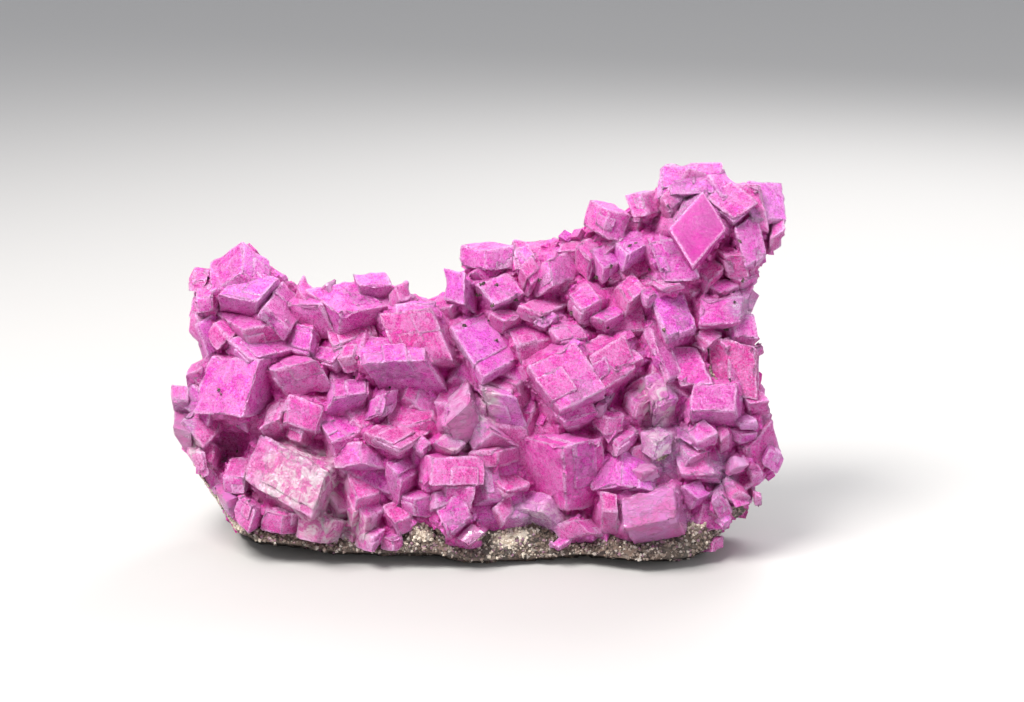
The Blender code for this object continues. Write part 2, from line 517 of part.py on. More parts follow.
def rim_blocks(rng):
    """Crystals around the sides and the top of the crust's edge, shrunk where they would pass the limits."""
    blocks = []
    loop = list(CRUST_EDGE)
    for index, start in enumerate(loop):
        end = loop[(index + 1) % len(loop)]
        if max(start[1], end[1]) < 3.9 and abs(start[0]) < 26.0:
            continue
        steps = max(1, round(math.dist(start, end) / RIM_SPACING))
        for step in range(steps):
            for row in RIM_ROWS:
                along = (step + rng.uniform(0.2, 0.8)) / steps
                u = start[0] + along * (end[0] - start[0])
                v = start[1] + along * (end[1] - start[1])
                size = rng.uniform(*RIM_EDGE)
                lift = row + rng.uniform(-0.8, 0.8)
                for _ in range(5):
                    nearest, edges = rim_crystal(u, v, lift, outward_of(loop, index), size, rng)
                    if within_limits(nearest, edges):
                        blocks.append((nearest, edges))
                        break
                    size *= 0.82
    return blocks


def drawn_faces():
    """The three faces of each crystal as they are seen on the chart."""
    faces = []
    for row in CRYSTALS:
        ends = ((row[2], row[3]), (row[4], row[5]), (row[6], row[7]))
        for first in range(3):
            a = ends[first]
            b = ends[(first + 1) % 3]
            faces.append(((row[0], row[1]), a, (a[0] + b[0] - row[0], a[1] + b[1] - row[1]), b))
    return faces


def filler_crystal(u, v, size, rng):
    """A rhombohedron that stands on the crust with one corner pointing roughly out of it."""
    across, up_lean, outward = axes()
    tilt_u = rng.uniform(-FILLER_TILT, FILLER_TILT)
    tilt_v = rng.uniform(-FILLER_TILT, FILLER_TILT)
    axis = outward + tilt_u * across + tilt_v * up_lean
    axis = axis / np.linalg.norm(axis)
    side = np.cross(axis, up_lean)
    side = side / np.linalg.norm(side)
    other = np.cross(axis, side)
    turn = rng.uniform(0.0, 2.0 * math.pi)
    edges = []
    for step in range(3):
        angle = turn + step * 2.0 * math.pi / 3.0
        flat = math.cos(angle) * side + math.sin(angle) * other
        edges.append(size * rng.uniform(0.85, 1.15) * (0.898 * flat - 0.44 * axis))
    return place(u, v, crust_lift(u, v) + FILLER_RISE * size), edges


def filler_blocks(rng):
    """Crystals on the parts of the front that the drawn crystals leave bare."""
    faces = drawn_faces()
    spots = [(u, v) for u in np.arange(-28.0, 29.0, 1.1) for v in np.arange(3.0, 38.0, 1.1)]
    rng.shuffle(spots)
    taken = []
    blocks = []
    for u, v in spots:
        if not inside(u, v, CRUST_EDGE) or v < foot_height(u) + 1.5:
            continue
        if any(inside(u, v, face) for face in faces):
            continue
        if any(math.dist((u, v), spot) < FILLER_SPACING for spot in taken):
            continue
        taken.append((u, v))
        nearest, edges = filler_crystal(u, v, rng.uniform(*FILLER_EDGE), rng)
        if within_limits(nearest, edges):
            blocks.append((nearest, edges))
    return blocks


def new_object(name, mesh, collection):
    """An object in a collection."""
    item = bpy.data.objects.new(name, mesh)
    collection.objects.link(item)
    return item


def applied(item):
    """Replaces an object's mesh by the result of its modifiers."""
    graph = bpy.context.evaluated_depsgraph_get()
    result = bpy.data.meshes.new_from_object(item.evaluated_get(graph))
    item.modifiers.clear()
    item.data = result


def combine(item, operation, operand):
    """Applies a boolean with an object or with a whole collection."""
    step = item.modifiers.new("combine", "BOOLEAN")
    step.solver = "MANIFOLD"
    step.operation = operation
    if isinstance(operand, bpy.types.Collection):
        step.operand_type = "COLLECTION"
        step.collection = operand
    else:
        step.object = operand
    applied(item)


def floor_box(height):
    """A box whose top lies at a height, for cutting a body off flat."""
    points = [(x, y, z) for z in (-90.0, height) for y in (-90.0, 90.0) for x in (-90.0, 90.0)]
    faces = ((0, 1, 3, 2), (4, 5, 7, 6), (0, 1, 5, 4), (2, 3, 7, 6), (0, 2, 6, 4), (1, 3, 7, 5))
    return closed_mesh("floor", points, faces)


def keep_largest_body(mesh):
    """Leaves only the piece of the mesh with the largest box, and so drops loose chips and closed-in voids."""
    shape = bmesh.new()
    shape.from_mesh(mesh)
    unseen = set(shape.verts)
    pieces = []
    while unseen:
        stack = [unseen.pop()]
        piece = list(stack)
        while stack:
            vertex = stack.pop()
            for edge in vertex.link_edges:
                other = edge.other_vert(vertex)
                if other in unseen:
                    unseen.remove(other)
                    piece.append(other)
                    stack.append(other)
        pieces.append(piece)
    pieces.sort(key=piece_width)
    loose = [vertex for piece in pieces[:-1] for vertex in piece]
    bmesh.ops.delete(shape, geom=loose, context="VERTS")
    bmesh.ops.triangulate(shape, faces=shape.faces)
    shape.to_mesh(mesh)
    shape.free()


def piece_width(piece):
    """The width of a piece of a mesh, which orders the pieces by size."""
    places = [vertex.co.x for vertex in piece]
    return max(places) - min(places)


def material(name, colour, roughness):
    """A plain Principled material."""
    made = bpy.data.materials.new(name)
    made.use_nodes = True
    shader = made.node_tree.nodes["Principled BSDF"]
    shader.inputs["Base Color"].default_value = colour
    shader.inputs["Roughness"].default_value = roughness
    made.diffuse_color = colour
    return made


def finish_node(item, name, made):
    """Names a body, scales it to metres and gives it its material."""
    keep_largest_body(item.data)
    for vertex in item.data.vertices:
        vertex.co = vertex.co * MM
    item.name = name
    item.data.name = name
    item.data.materials.clear()
    item.data.materials.append(made)


def build():
    """Both nodes: the crystal crust, and the rock behind and under it."""
    for item in list(bpy.data.objects):
        bpy.data.objects.remove(item)
    rng = random.Random(SEED)
    home = bpy.context.scene.collection
    growth = bpy.data.collections.new("growth")
    home.children.link(growth)
    for row in CRYSTALS:
        new_object("block", block_mesh(*corner_edges(row)), growth)
    for nearest, edges in rim_blocks(rng) + filler_blocks(rng):
        new_object("block", block_mesh(nearest, edges), growth)
    crust = new_object("crust", crust_mesh(rng), home)
    rock_mesh, cutter_mesh = rock_meshes(rng)
    rock = new_object("rock", rock_mesh, home)
    cutter = new_object("cutter", cutter_mesh, home)
    rest = new_object("rest", floor_box(0.0), home)
    lift = new_object("lift", floor_box(REST_CUT), home)
    combine(crust, "UNION", growth)
    combine(crust, "DIFFERENCE", cutter)
    combine(crust, "DIFFERENCE", lift)
    combine(rock, "DIFFERENCE", rest)
    for item in list(growth.objects) + [cutter, rest, lift]:
        bpy.data.objects.remove(item)
    bpy.data.collections.remove(growth)
    finish_node(crust, "dolomite_crystals", material("dolomite_crystals", PINK, 0.35))
    finish_node(rock, "matrix", material("matrix", BROWN, 0.9))


build()
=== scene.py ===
"""Looks for the pink dolomite specimen: detailed crystals, rock, materials, floor, light and camera.

Lengths are in millimetres until the meshes are written in metres. The crystal-bearing front leans back
from -Y and is laid out on a chart: u runs across, v runs up the lean, and lift stands out of it.
"""

import math
import random

import bmesh
import bpy
import numpy as np
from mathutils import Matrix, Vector
from mathutils.bvhtree import BVHTree
from mathutils.geometry import delaunay_2d_cdt


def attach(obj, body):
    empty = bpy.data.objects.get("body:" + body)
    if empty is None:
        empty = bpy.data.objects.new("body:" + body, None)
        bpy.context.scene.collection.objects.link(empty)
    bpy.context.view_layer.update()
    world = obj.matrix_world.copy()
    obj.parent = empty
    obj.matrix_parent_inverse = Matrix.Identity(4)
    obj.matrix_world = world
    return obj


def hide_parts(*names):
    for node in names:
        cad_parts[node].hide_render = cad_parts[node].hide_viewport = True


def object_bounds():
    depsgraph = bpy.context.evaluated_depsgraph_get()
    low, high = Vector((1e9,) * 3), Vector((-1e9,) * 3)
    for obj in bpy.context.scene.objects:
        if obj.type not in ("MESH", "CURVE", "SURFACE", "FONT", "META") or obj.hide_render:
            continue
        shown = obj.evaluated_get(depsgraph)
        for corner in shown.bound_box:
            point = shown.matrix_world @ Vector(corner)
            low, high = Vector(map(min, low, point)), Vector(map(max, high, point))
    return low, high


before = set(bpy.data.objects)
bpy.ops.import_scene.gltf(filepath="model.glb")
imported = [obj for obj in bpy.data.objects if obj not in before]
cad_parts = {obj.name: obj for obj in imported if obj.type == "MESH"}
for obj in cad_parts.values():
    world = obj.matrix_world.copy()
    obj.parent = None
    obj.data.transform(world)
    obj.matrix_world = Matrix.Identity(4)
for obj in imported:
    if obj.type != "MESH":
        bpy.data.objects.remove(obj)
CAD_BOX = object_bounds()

# The chart: a leaning plane, and the eye that looks straight at it.
MM = 0.001
LEAN = math.radians(15.0)
FRONT_Y = -14.0
EYE_DISTANCE = 194.0
EYE_U = 3.36
EYE_V = 22.16

# How a drawn crystal becomes a rhombohedron: the trial depths of its edges and what makes a good corner.
CORNER_COSINE = 0.21
CORNER_SIGNS = ((-1, -1, -1), (-1, 1, 1), (1, -1, 1), (1, 1, -1))
UNEVEN_EDGES = 0.05
SHORTEST_EDGE = 0.05
LONGEST_EDGE = 9.0
FIRST_DEPTH = 4.5
DEPTH_SPREADS = (4.5, 1.0, 0.2)
DEPTH_TRIALS = 13

# A rhombohedron that stands on a corner: how its edges run across its axis and back along it.
EDGE_ACROSS = 0.898
EDGE_ALONG = 0.44

# The level at which the crystals grow together, and how it dips along the foot and falls back at the sides.
CRYSTAL_ROOT = 2.6
BLEND_RADIUS = 2.6
HOLLOW_SLOPE = 0.7
BORDER_DIP = 0.8
FOOT_TOP = 3.0
FOOT_REACH = 27.0
SIDE_FALL = 7.0
SIDE_FALL_TOP = 10.0
UNDER_FLOOR = 0.3

# The rock behind the crust.
CRUST_THICKNESS = 2.4
CRUST_RIM_DEPTH = 8.0
TOP_DEPTH = 10.0
BASE_DEPTH = 27.0
CREST_HEIGHT = 36.0
EDGE_ROUNDING = 6.0
SHEET_SIZE = (66.0, 44.0)
SHEET_LEFT = -32.0
SHEET_SPACING = 3.4
SHEET_JITTER = 0.7
ROCK_ROUGHNESS = 0.55
FRONT_ROUGHNESS = 0.4
BACK_ROUGHNESS = 1.6
THINNEST_ROCK = 2.0
CRUST_OVERLAP = 0.9
FOOT_RISE = 1.4
FOOT_BEHIND = 0.3
VOXEL = 0.5
RESTING = 0.3

# Crystals around the crust's edge.
RIM_ROWS = (-2.2, -6.2)
RIM_SPACING = 6.4
RIM_EDGE = (3.4, 5.4)
RIM_EDGE_SHARES = (0.8, 1.15)
RIM_LIFT_JITTER = 0.8
RIM_TILT = 0.6
RIM_FALL = 0.25
RIM_RISE = 0.42
RIM_TRIES = 5
RIM_SHRINK = 0.82
RIM_DRAWN_IN = 0.8

# Crystals on the bare spots of the front.
FILLER_SPACING = 3.9
FILLER_GRID = 1.1
FILLER_ABOVE_FOOT = 1.5
FILLER_EDGE = (4.4, 6.4)
FILLER_EDGE_SHARES = (0.85, 1.15)
FILLER_RISE = 0.36
FILLER_TILT = 0.55
SINKING = 1.7
SEED = 41

# A crystal's surface: its grid, its worn edges and its growth plates.
GRID_STEP = 0.55
EDGE_LINES = (0.12, 0.36)
CODE_BASE = 128
BEVEL = 0.06
BEVEL_WIDTH = 0.1
RIM_WIDTH = 0.2
STEP_SCALE = 0.38
STEP_HEIGHT = 0.28
ROUGH_SCALE = 1.1
ROUGH_HEIGHT = 0.2
SWELL_SCALE = 0.3
SWELL_HEIGHT = 0.25
CHIP_SCALE = 0.8
CHIP_START = 0.52
CHIP_DEPTH = 2.0
CHIP_WIDTH = 0.5
DRAWN_RELIEF = 0.8
GLASSY_RELIEF = 0.2
EXTRA_RELIEF = 0.9
FIELD_RELIEF = 0.7
FACE_GAINS = (0.72, 1.22)
GAIN_POWERS = (0.5, 1.6, 0.8)
BRIGHTEST = 0.95
DARKEST = 0.01
TONE_SPREAD = 0.12
HUE_SPREAD = 0.04
PLATED_SIZES = (3.0, 5.0)
PLATE_GAINS = (0.9, 1.12)
PLATE_RELIEF = 0.6
PLATE_GRID = 1.3
PLATE_SHARES = (0.35, 0.8)
PLATE_STEPS = (-0.22, -0.12, 0.0)
PLATE_TURN = 0.03

# The drawn crystals: how far their lifts are evened out, how much wider and how much deeper some stand.
CALMING = 0.55
SPREAD = 1.22
LONELY = ((-28.6, 29.6), (-30.6, 16.9), (24.6, 2.2))
LOWERED = 1.4
GLASS = {"glassy": 1.0, "hero": 0.25}

# Where the crystals are parted into pieces across the chart, with bounds far past its ends.
PARTINGS = (-99.0, -11.0, 8.0, 99.0)

# The fused mass between the crystals, on a grid of the chart.
CELL = 0.3
CHART_U = (-37.0, 37.5)
CHART_V = (-6.0, 46.5)
NOTHING = -99.0
STRETCHING = 260
SMOOTHING = 30
FAR_SMOOTHING = 6
SKIN_DROP = 0.1
FAR_DROP = 0.3
PIT_DROP = 1.5
DEEPEST_SKIN = 1.9
DEEPEST_BED = 1.6
SKIRT_SLOPE = 2.8
SKIRT_PASSES = 12
SKIRT_DROP = 0.4
SKIRT_PIT_DROP = 0.8
OUTSIDE_DROP = 4.0
UNDER_CRYSTALS = 0.9
UNDER_GLASS = 0.6
RIDGE_HEIGHT = 0.45
FINE_HEIGHT = 0.22
BLOCK_HEIGHT = 0.5
SKIN_STEP = 0.36
SKIN_JITTER = 0.08
LOOP_STEP = 0.5
LOOP_JITTER = 0.14

# Crystals that grow out of it: spacing, smallest and largest size, and how far they rise.
FIELD_TIERS = ((2.3, 3.4, 5.2, 1.0), (1.5, 1.6, 2.8, 0.55))
FIELD_RISES = (0.5, 1.3)
FIELD_ABOVE_FOOT = 0.8

# Where the crystals stop above the rock: a height, and lines on the chart that they are cut along.
PINK_FOOT = 1.15
FOOT_CUTS = (((-24.7, 3.1), (-11.3, 1.1)), ((-29.6, 9.7), (-25.2, 3.1)), ((-11.3, 1.1), (20.0, 1.1)))

# Small things scattered over a surface. A pair ending in SPOTS is how many spots are tried and the seed.
DRUSE_SPOTS = (15000, 5)
DRUSE_SIZES = (0.4, 0.8)
DRUSE_EDGE_SHARES = (0.75, 1.2)
ROCK_SPOTS = (70000, 8)
ROCK_GRAIN_SIZES = (0.10, 0.32)
BACK_GRAIN_SIZES = (0.12, 0.3)
BACK_GRAINS_KEPT = 9
BED_SPOTS = (40000, 9)
BED_GRAIN_SIZES = (0.10, 0.28)
SPECK_SIZES = (0.14, 0.27)
SPECK_COLOUR = (0.02, 0.006, 0.014)
SPECKS_TOGETHER = 4
SPECK_JITTER = 0.14
CREAM_GRAIN = (0.66, 0.58, 0.47)
GRAIN_COLOURS = (
    (0.03, 0.022, 0.02), (0.07, 0.05, 0.04), (0.13, 0.10, 0.08), (0.24, 0.19, 0.16), (0.40, 0.36, 0.32),
    (0.2, 0.09, 0.15),
)

# The faces of a block and of an eight-sided grain, by their corners.
BLOCK_FACES = ((0, 1, 3, 2), (4, 6, 7, 5), (0, 4, 5, 1), (2, 3, 7, 6), (0, 2, 6, 4), (1, 5, 7, 3))
GRAIN_FACES = (
    (0, 2, 4), (2, 1, 4), (1, 3, 4), (3, 0, 4), (2, 0, 5), (1, 2, 5), (3, 1, 5), (0, 3, 5),
)

# The studio and the box that pieces stay in, in metres and watts. A light has a name, a place, a size, its
# power and its colour.
LOOKED_AT = (0.0, -0.004, 0.018)
LIGHTS = (
    ("key", (-0.14, -0.13, 0.30), 0.16, 2.15, (1.0, 0.985, 0.96)),
    ("back", (0.12, 0.22, 0.24), 0.18, 0.8, (1.0, 1.0, 1.0)),
    ("fill", (0.30, -0.26, 0.12), 0.30, 0.5, (0.95, 0.97, 1.0)),
)
SKY_COLOUR = (0.93, 0.95, 1.0, 1.0)
SKY_STRENGTH = 0.66
FLOOR_SIZE = 1.5
FLOOR_GAP = 0.00003
BOX_MARGIN = 2e-5
LENS = 65.04
SENSOR = 36.0
NEAREST_SEEN = 0.001

# Where a drawn crystal's row has its lift and its tone, and the tones that what surrounds it doesn't take up.
LIFT = 8
TONE = 9
UNLIKE_THE_REST = ("clear", "white", "glassy")

# Angles at which faces meet with a sharp edge, and seeds of the zones' noise.
CRYSTAL_CREASE = 24.0
ROCK_CREASE = 50.0
MILKY_SEED = 81
LILAC_SEED = 85

# Each drawn crystal: its nearest corner, the far ends of the three edges that meet there, the corner's lift
# and its tone, which is partly painted light: pale on faces seen lit, deep on crystals seen in shade.
LEFT_LOBE = (
    (-24.9, 30.4, -24.9, 33.6, -28.4, 28.2, -21.9, 28.4, 3.0, "pale"),
    (-23.4, 27.3, -20.9, 29.9, -27.6, 28.1, -23.3, 25.2, 5.0, "pale"),
    (-22.6, 26.8, -20.6, 29.6, -19.8, 24.3, -23.4, 25.6, 4.5, "pale"),
    (-24.9, 24.3, -27.8, 26.2, -21.0, 25.2, -24.4, 22.9, 5.0, "pink"),
    (-28.0, 28.0, -27.6, 30.0, -29.9, 27.7, -27.9, 26.2, 3.0, "pink"),
    (-28.9, 24.6, -30.3, 26.6, -29.3, 22.2, -26.9, 25.2, 0.5, "deep"),
    (-26.3, 23.4, -27.6, 24.9, -24.8, 24.4, -27.4, 22.3, 2.5, "pink"),
    (-24.0, 21.2, -26.0, 23.0, -20.2, 22.2, -24.2, 20.2, 4.5, "pale"),
    (-18.0, 21.6, -20.2, 22.2, -17.6, 24.2, -17.2, 20.6, 3.0, "pale"),
    (-18.2, 27.3, -19.3, 28.9, -17.4, 28.6, -18.6, 26.3, 1.0, "pink"),
)
LEFT_FLANK = (
    (-29.2, 20.3, -28.6, 21.6, -31.0, 19.6, -29.0, 18.9, 1.0, "pink"),
    (-30.3, 13.6, -30.0, 16.4, -32.2, 14.2, -30.2, 10.6, 1.0, "clear"),
    (-24.9, 15.2, -23.4, 20.2, -29.2, 15.6, -22.2, 15.8, 6.0, "pink"),
    (-21.9, 20.1, -17.9, 21.0, -20.4, 17.6, -23.8, 21.3, 5.0, "pink"),
    (-20.0, 17.7, -17.0, 16.6, -20.3, 15.2, -21.8, 16.4, 4.0, "pink"),
    (-21.2, 14.9, -20.2, 17.4, -22.9, 14.2, -20.3, 13.4, 4.0, "deep"),
    (-18.4, 14.6, -19.9, 15.2, -17.2, 13.9, -18.8, 12.8, 3.0, "deep"),
    (-15.6, 12.6, -17.5, 15.6, -13.0, 13.6, -15.2, 11.0, 4.5, "pink"),
    (-15.4, 17.2, -15.6, 19.8, -12.2, 17.6, -16.4, 15.4, 4.0, "pale"),
    (-15.9, 9.6, -21.9, 12.9, -17.4, 5.5, -14.0, 8.6, 6.5, "milky"),
    (-12.4, 10.4, -12.6, 12.3, -14.8, 9.9, -10.2, 9.8, 5.5, "pale"),
    (-12.9, 6.6, -13.8, 9.0, -10.7, 7.2, -13.4, 4.0, 5.0, "deep"),
    (-23.6, 5.4, -25.0, 6.9, -22.4, 5.8, -24.2, 3.3, 3.5, "pink"),
    (-20.6, 4.9, -22.4, 5.6, -18.5, 5.2, -20.8, 3.1, 4.0, "deep"),
    (-16.3, 4.6, -18.4, 5.2, -14.4, 4.4, -16.9, 2.5, 4.0, "mauve"),
    (-26.6, 6.4, -28.0, 8.0, -25.2, 6.9, -26.0, 4.4, 1.5, "clear"),
    (-28.9, 11.6, -29.4, 13.8, -30.2, 11.0, -28.4, 9.2, 2.0, "pink"),
    (-24.7, 8.9, -24.0, 10.6, -26.6, 8.9, -24.6, 7.4, 3.5, "pink"),
    (-11.9, 4.6, -12.9, 6.0, -10.2, 5.4, -12.2, 2.2, 4.5, "pink"),
    (-11.2, 2.6, -13.0, 3.4, -9.9, 3.6, -11.3, 0.9, 4.0, "pink"),
    (-9.0, 4.0, -10.0, 5.5, -7.4, 4.8, -8.6, 2.8, 4.0, "pink"),
    (-8.2, 8.4, -9.6, 10.2, -6.3, 9.6, -8.6, 6.0, 4.5, "pale"),
    (-7.0, 6.6, -8.8, 7.2, -5.2, 7.0, -6.6, 4.9, 4.2, "pink"),
)
SADDLE = (
    (-12.8, 29.0, -9.2, 29.1, -12.3, 27.0, -13.5, 30.4, 1.5, "pale"),
    (-8.4, 27.2, -8.9, 29.0, -7.0, 27.9, -9.2, 26.4, 1.6, "pink"),
    (-15.5, 22.6, -17.1, 27.2, -11.7, 23.8, -15.0, 21.4, 3.0, "deep"),
    (-8.8, 25.7, -10.7, 25.9, -8.6, 27.0, -4.6, 26.2, 2.8, "pale"),
    (-2.8, 21.1, -4.8, 25.8, -7.2, 20.5, -2.2, 20.7, 5.0, "deep"),
    (-5.6, 21.2, -11.4, 20.8, -6.1, 23.5, -3.3, 17.9, 6.0, "pale"),
    (-12.6, 21.8, -12.0, 24.1, -14.6, 21.4, -11.8, 20.6, 3.5, "mauve"),
    (-15.6, 20.9, -14.6, 22.0, -17.6, 21.4, -14.9, 20.0, 3.0, "pink"),
    (-1.6, 27.0, -1.6, 30.4, -3.9, 27.6, -0.2, 25.8, 3.0, "pale"),
    (0.4, 30.5, -2.2, 31.0, 0.6, 32.8, 3.5, 30.9, 1.8, "pale"),
    (1.4, 27.0, -0.1, 28.8, 4.2, 28.0, 1.2, 25.9, 3.8, "pale"),
    (0.3, 19.4, -2.5, 23.9, 4.1, 21.4, 0.2, 18.6, 6.0, "pale"),
    (2.6, 25.2, 1.2, 26.0, 4.2, 25.8, 2.4, 24.0, 3.0, "deep"),
    (3.8, 22.6, 3.0, 24.2, 7.0, 23.4, 4.2, 21.0, 4.2, "deep"),
    (6.2, 21.6, 4.2, 22.4, 8.6, 21.6, 6.0, 20.4, 3.2, "deep"),
)
HEART = (
    (3.3, 17.9, 0.6, 18.9, 4.6, 19.4, 4.2, 15.4, 3.5, "mauve"),
    (-1.0, 16.9, -1.4, 19.6, -3.7, 14.3, 0.6, 14.4, 6.5, "clear"),
    (0.4, 17.9, 3.3, 17.4, 1.6, 14.4, 0.0, 18.6, 5.5, "white"),
    (1.4, 13.6, 0.0, 15.4, 3.8, 12.4, -0.4, 12.0, 5.5, "milky"),
    (2.0, 11.6, 4.2, 12.4, -0.6, 11.6, 1.9, 10.2, 4.8, "deep"),
    (-2.8, 11.6, -4.6, 12.4, -1.6, 12.6, -3.0, 10.4, 5.0, "pink"),
    (-10.6, 15.4, -12.0, 14.8, -10.2, 17.3, -9.2, 15.8, 4.0, "pale"),
    (-8.4, 11.9, -11.6, 13.4, -4.8, 13.9, -8.6, 11.2, 6.0, "deep"),
    (-5.2, 8.0, -5.1, 10.5, -0.5, 8.1, -6.6, 8.6, 6.0, "pink"),
    (-4.4, 5.6, -4.7, 7.1, -1.2, 6.4, -5.2, 5.2, 5.0, "pink"),
    (-3.4, 2.7, -4.4, 5.0, -1.3, 4.4, -3.1, 2.2, 5.5, "pink"),
    (-1.2, 1.7, -2.6, 2.6, 0.6, 3.2, -0.9, 1.3, 4.5, "clear"),
    (0.9, 6.4, 0.4, 9.4, 2.4, 6.4, -0.4, 5.9, 3.5, "pale"),
    (2.9, 7.4, 0.9, 8.9, 4.9, 8.0, 2.4, 6.6, 4.0, "mauve"),
    (2.5, 4.2, 1.7, 5.5, 3.6, 5.3, 2.2, 3.6, 2.5, "deep"),
    (8.6, 12.1, 9.0, 6.5, 4.6, 13.2, 12.2, 12.8, 7.0, "hero"),
    (6.6, 5.2, 4.0, 5.6, 8.6, 3.4, 7.2, 6.9, 3.5, "white"),
    (11.6, 3.0, 10.3, 4.3, 14.2, 2.9, 9.4, 2.3, 3.0, "pink"),
)
RIGHT_SLOPE = (
    (4.0, 31.0, 3.5, 33.8, 10.1, 31.4, 3.8, 30.6, 1.5, "deep"),
    (12.8, 34.0, 10.6, 35.3, 13.6, 36.9, 15.2, 33.6, 1.5, "pink"),
    (7.6, 29.0, 7.2, 31.4, 9.9, 29.8, 5.9, 27.8, 3.6, "pale"),
    (5.4, 29.0, 4.4, 30.8, 6.8, 30.2, 4.9, 27.6, 3.0, "pink"),
    (11.6, 31.6, 10.2, 33.0, 13.4, 32.6, 11.4, 29.6, 2.6, "pink"),
    (6.8, 24.9, 5.6, 25.4, 8.2, 25.8, 6.8, 24.2, 4.0, "white"),
    (6.6, 26.0, 4.4, 26.8, 9.0, 27.0, 6.2, 25.0, 3.8, "pink"),
    (10.8, 26.4, 9.4, 27.8, 12.6, 27.4, 10.8, 24.6, 3.6, "pink"),
    (8.6, 22.9, 7.6, 24.4, 11.0, 23.4, 8.0, 22.0, 5.0, "pale"),
    (14.3, 20.1, 11.0, 22.2, 16.7, 21.2, 14.0, 19.2, 5.5, "pink"),
    (8.3, 15.7, 5.6, 19.7, 12.4, 17.8, 8.2, 14.8, 7.0, "pink"),
    (12.6, 17.9, 11.6, 20.9, 15.8, 19.9, 12.5, 17.0, 5.8, "pink"),
    (8.8, 14.6, 7.2, 16.6, 11.8, 15.6, 9.0, 13.4, 5.0, "pink"),
    (13.0, 16.4, 11.4, 16.3, 14.2, 17.9, 12.8, 15.2, 4.0, "clear"),
    (16.6, 16.4, 15.4, 17.6, 18.3, 17.4, 16.3, 15.0, 5.0, "pink"),
    (18.4, 16.2, 17.4, 18.9, 20.4, 17.0, 18.0, 13.8, 5.0, "white"),
    (18.4, 12.8, 17.1, 13.6, 20.0, 13.4, 18.3, 11.0, 4.6, "white"),
    (14.6, 12.4, 13.2, 13.6, 16.4, 13.6, 14.2, 10.9, 4.5, "pink"),
    (14.8, 8.0, 14.9, 11.2, 12.2, 7.6, 18.0, 7.6, 6.0, "pale"),
    (16.9, 9.4, 15.4, 9.9, 18.9, 10.0, 16.9, 8.2, 5.0, "clear"),
    (15.0, 3.6, 14.8, 6.9, 20.6, 4.6, 16.6, 1.2, 6.5, "clear"),
    (22.9, 6.6, 21.5, 7.8, 24.4, 7.2, 22.2, 5.8, 4.0, "pale"),
    (25.4, 7.4, 25.2, 9.0, 24.4, 6.4, 26.4, 5.6, 3.2, "pink"),
    (24.9, 9.2, 24.1, 11.4, 21.8, 9.2, 25.3, 8.4, 4.0, "deep"),
    (21.9, 10.8, 21.0, 12.2, 23.6, 11.6, 21.2, 9.4, 4.0, "mauve"),
    (22.9, 12.5, 21.6, 13.7, 24.6, 13.4, 22.8, 11.6, 4.6, "pale"),
    (22.0, 15.8, 22.2, 18.2, 25.9, 15.9, 22.6, 14.2, 5.0, "pale"),
    (30.4, 12.0, 29.4, 14.4, 32.0, 10.9, 29.6, 10.2, 1.0, "pale"),
    (27.2, 7.4, 26.1, 8.8, 28.4, 6.8, 26.4, 6.6, 3.0, "deep"),
)
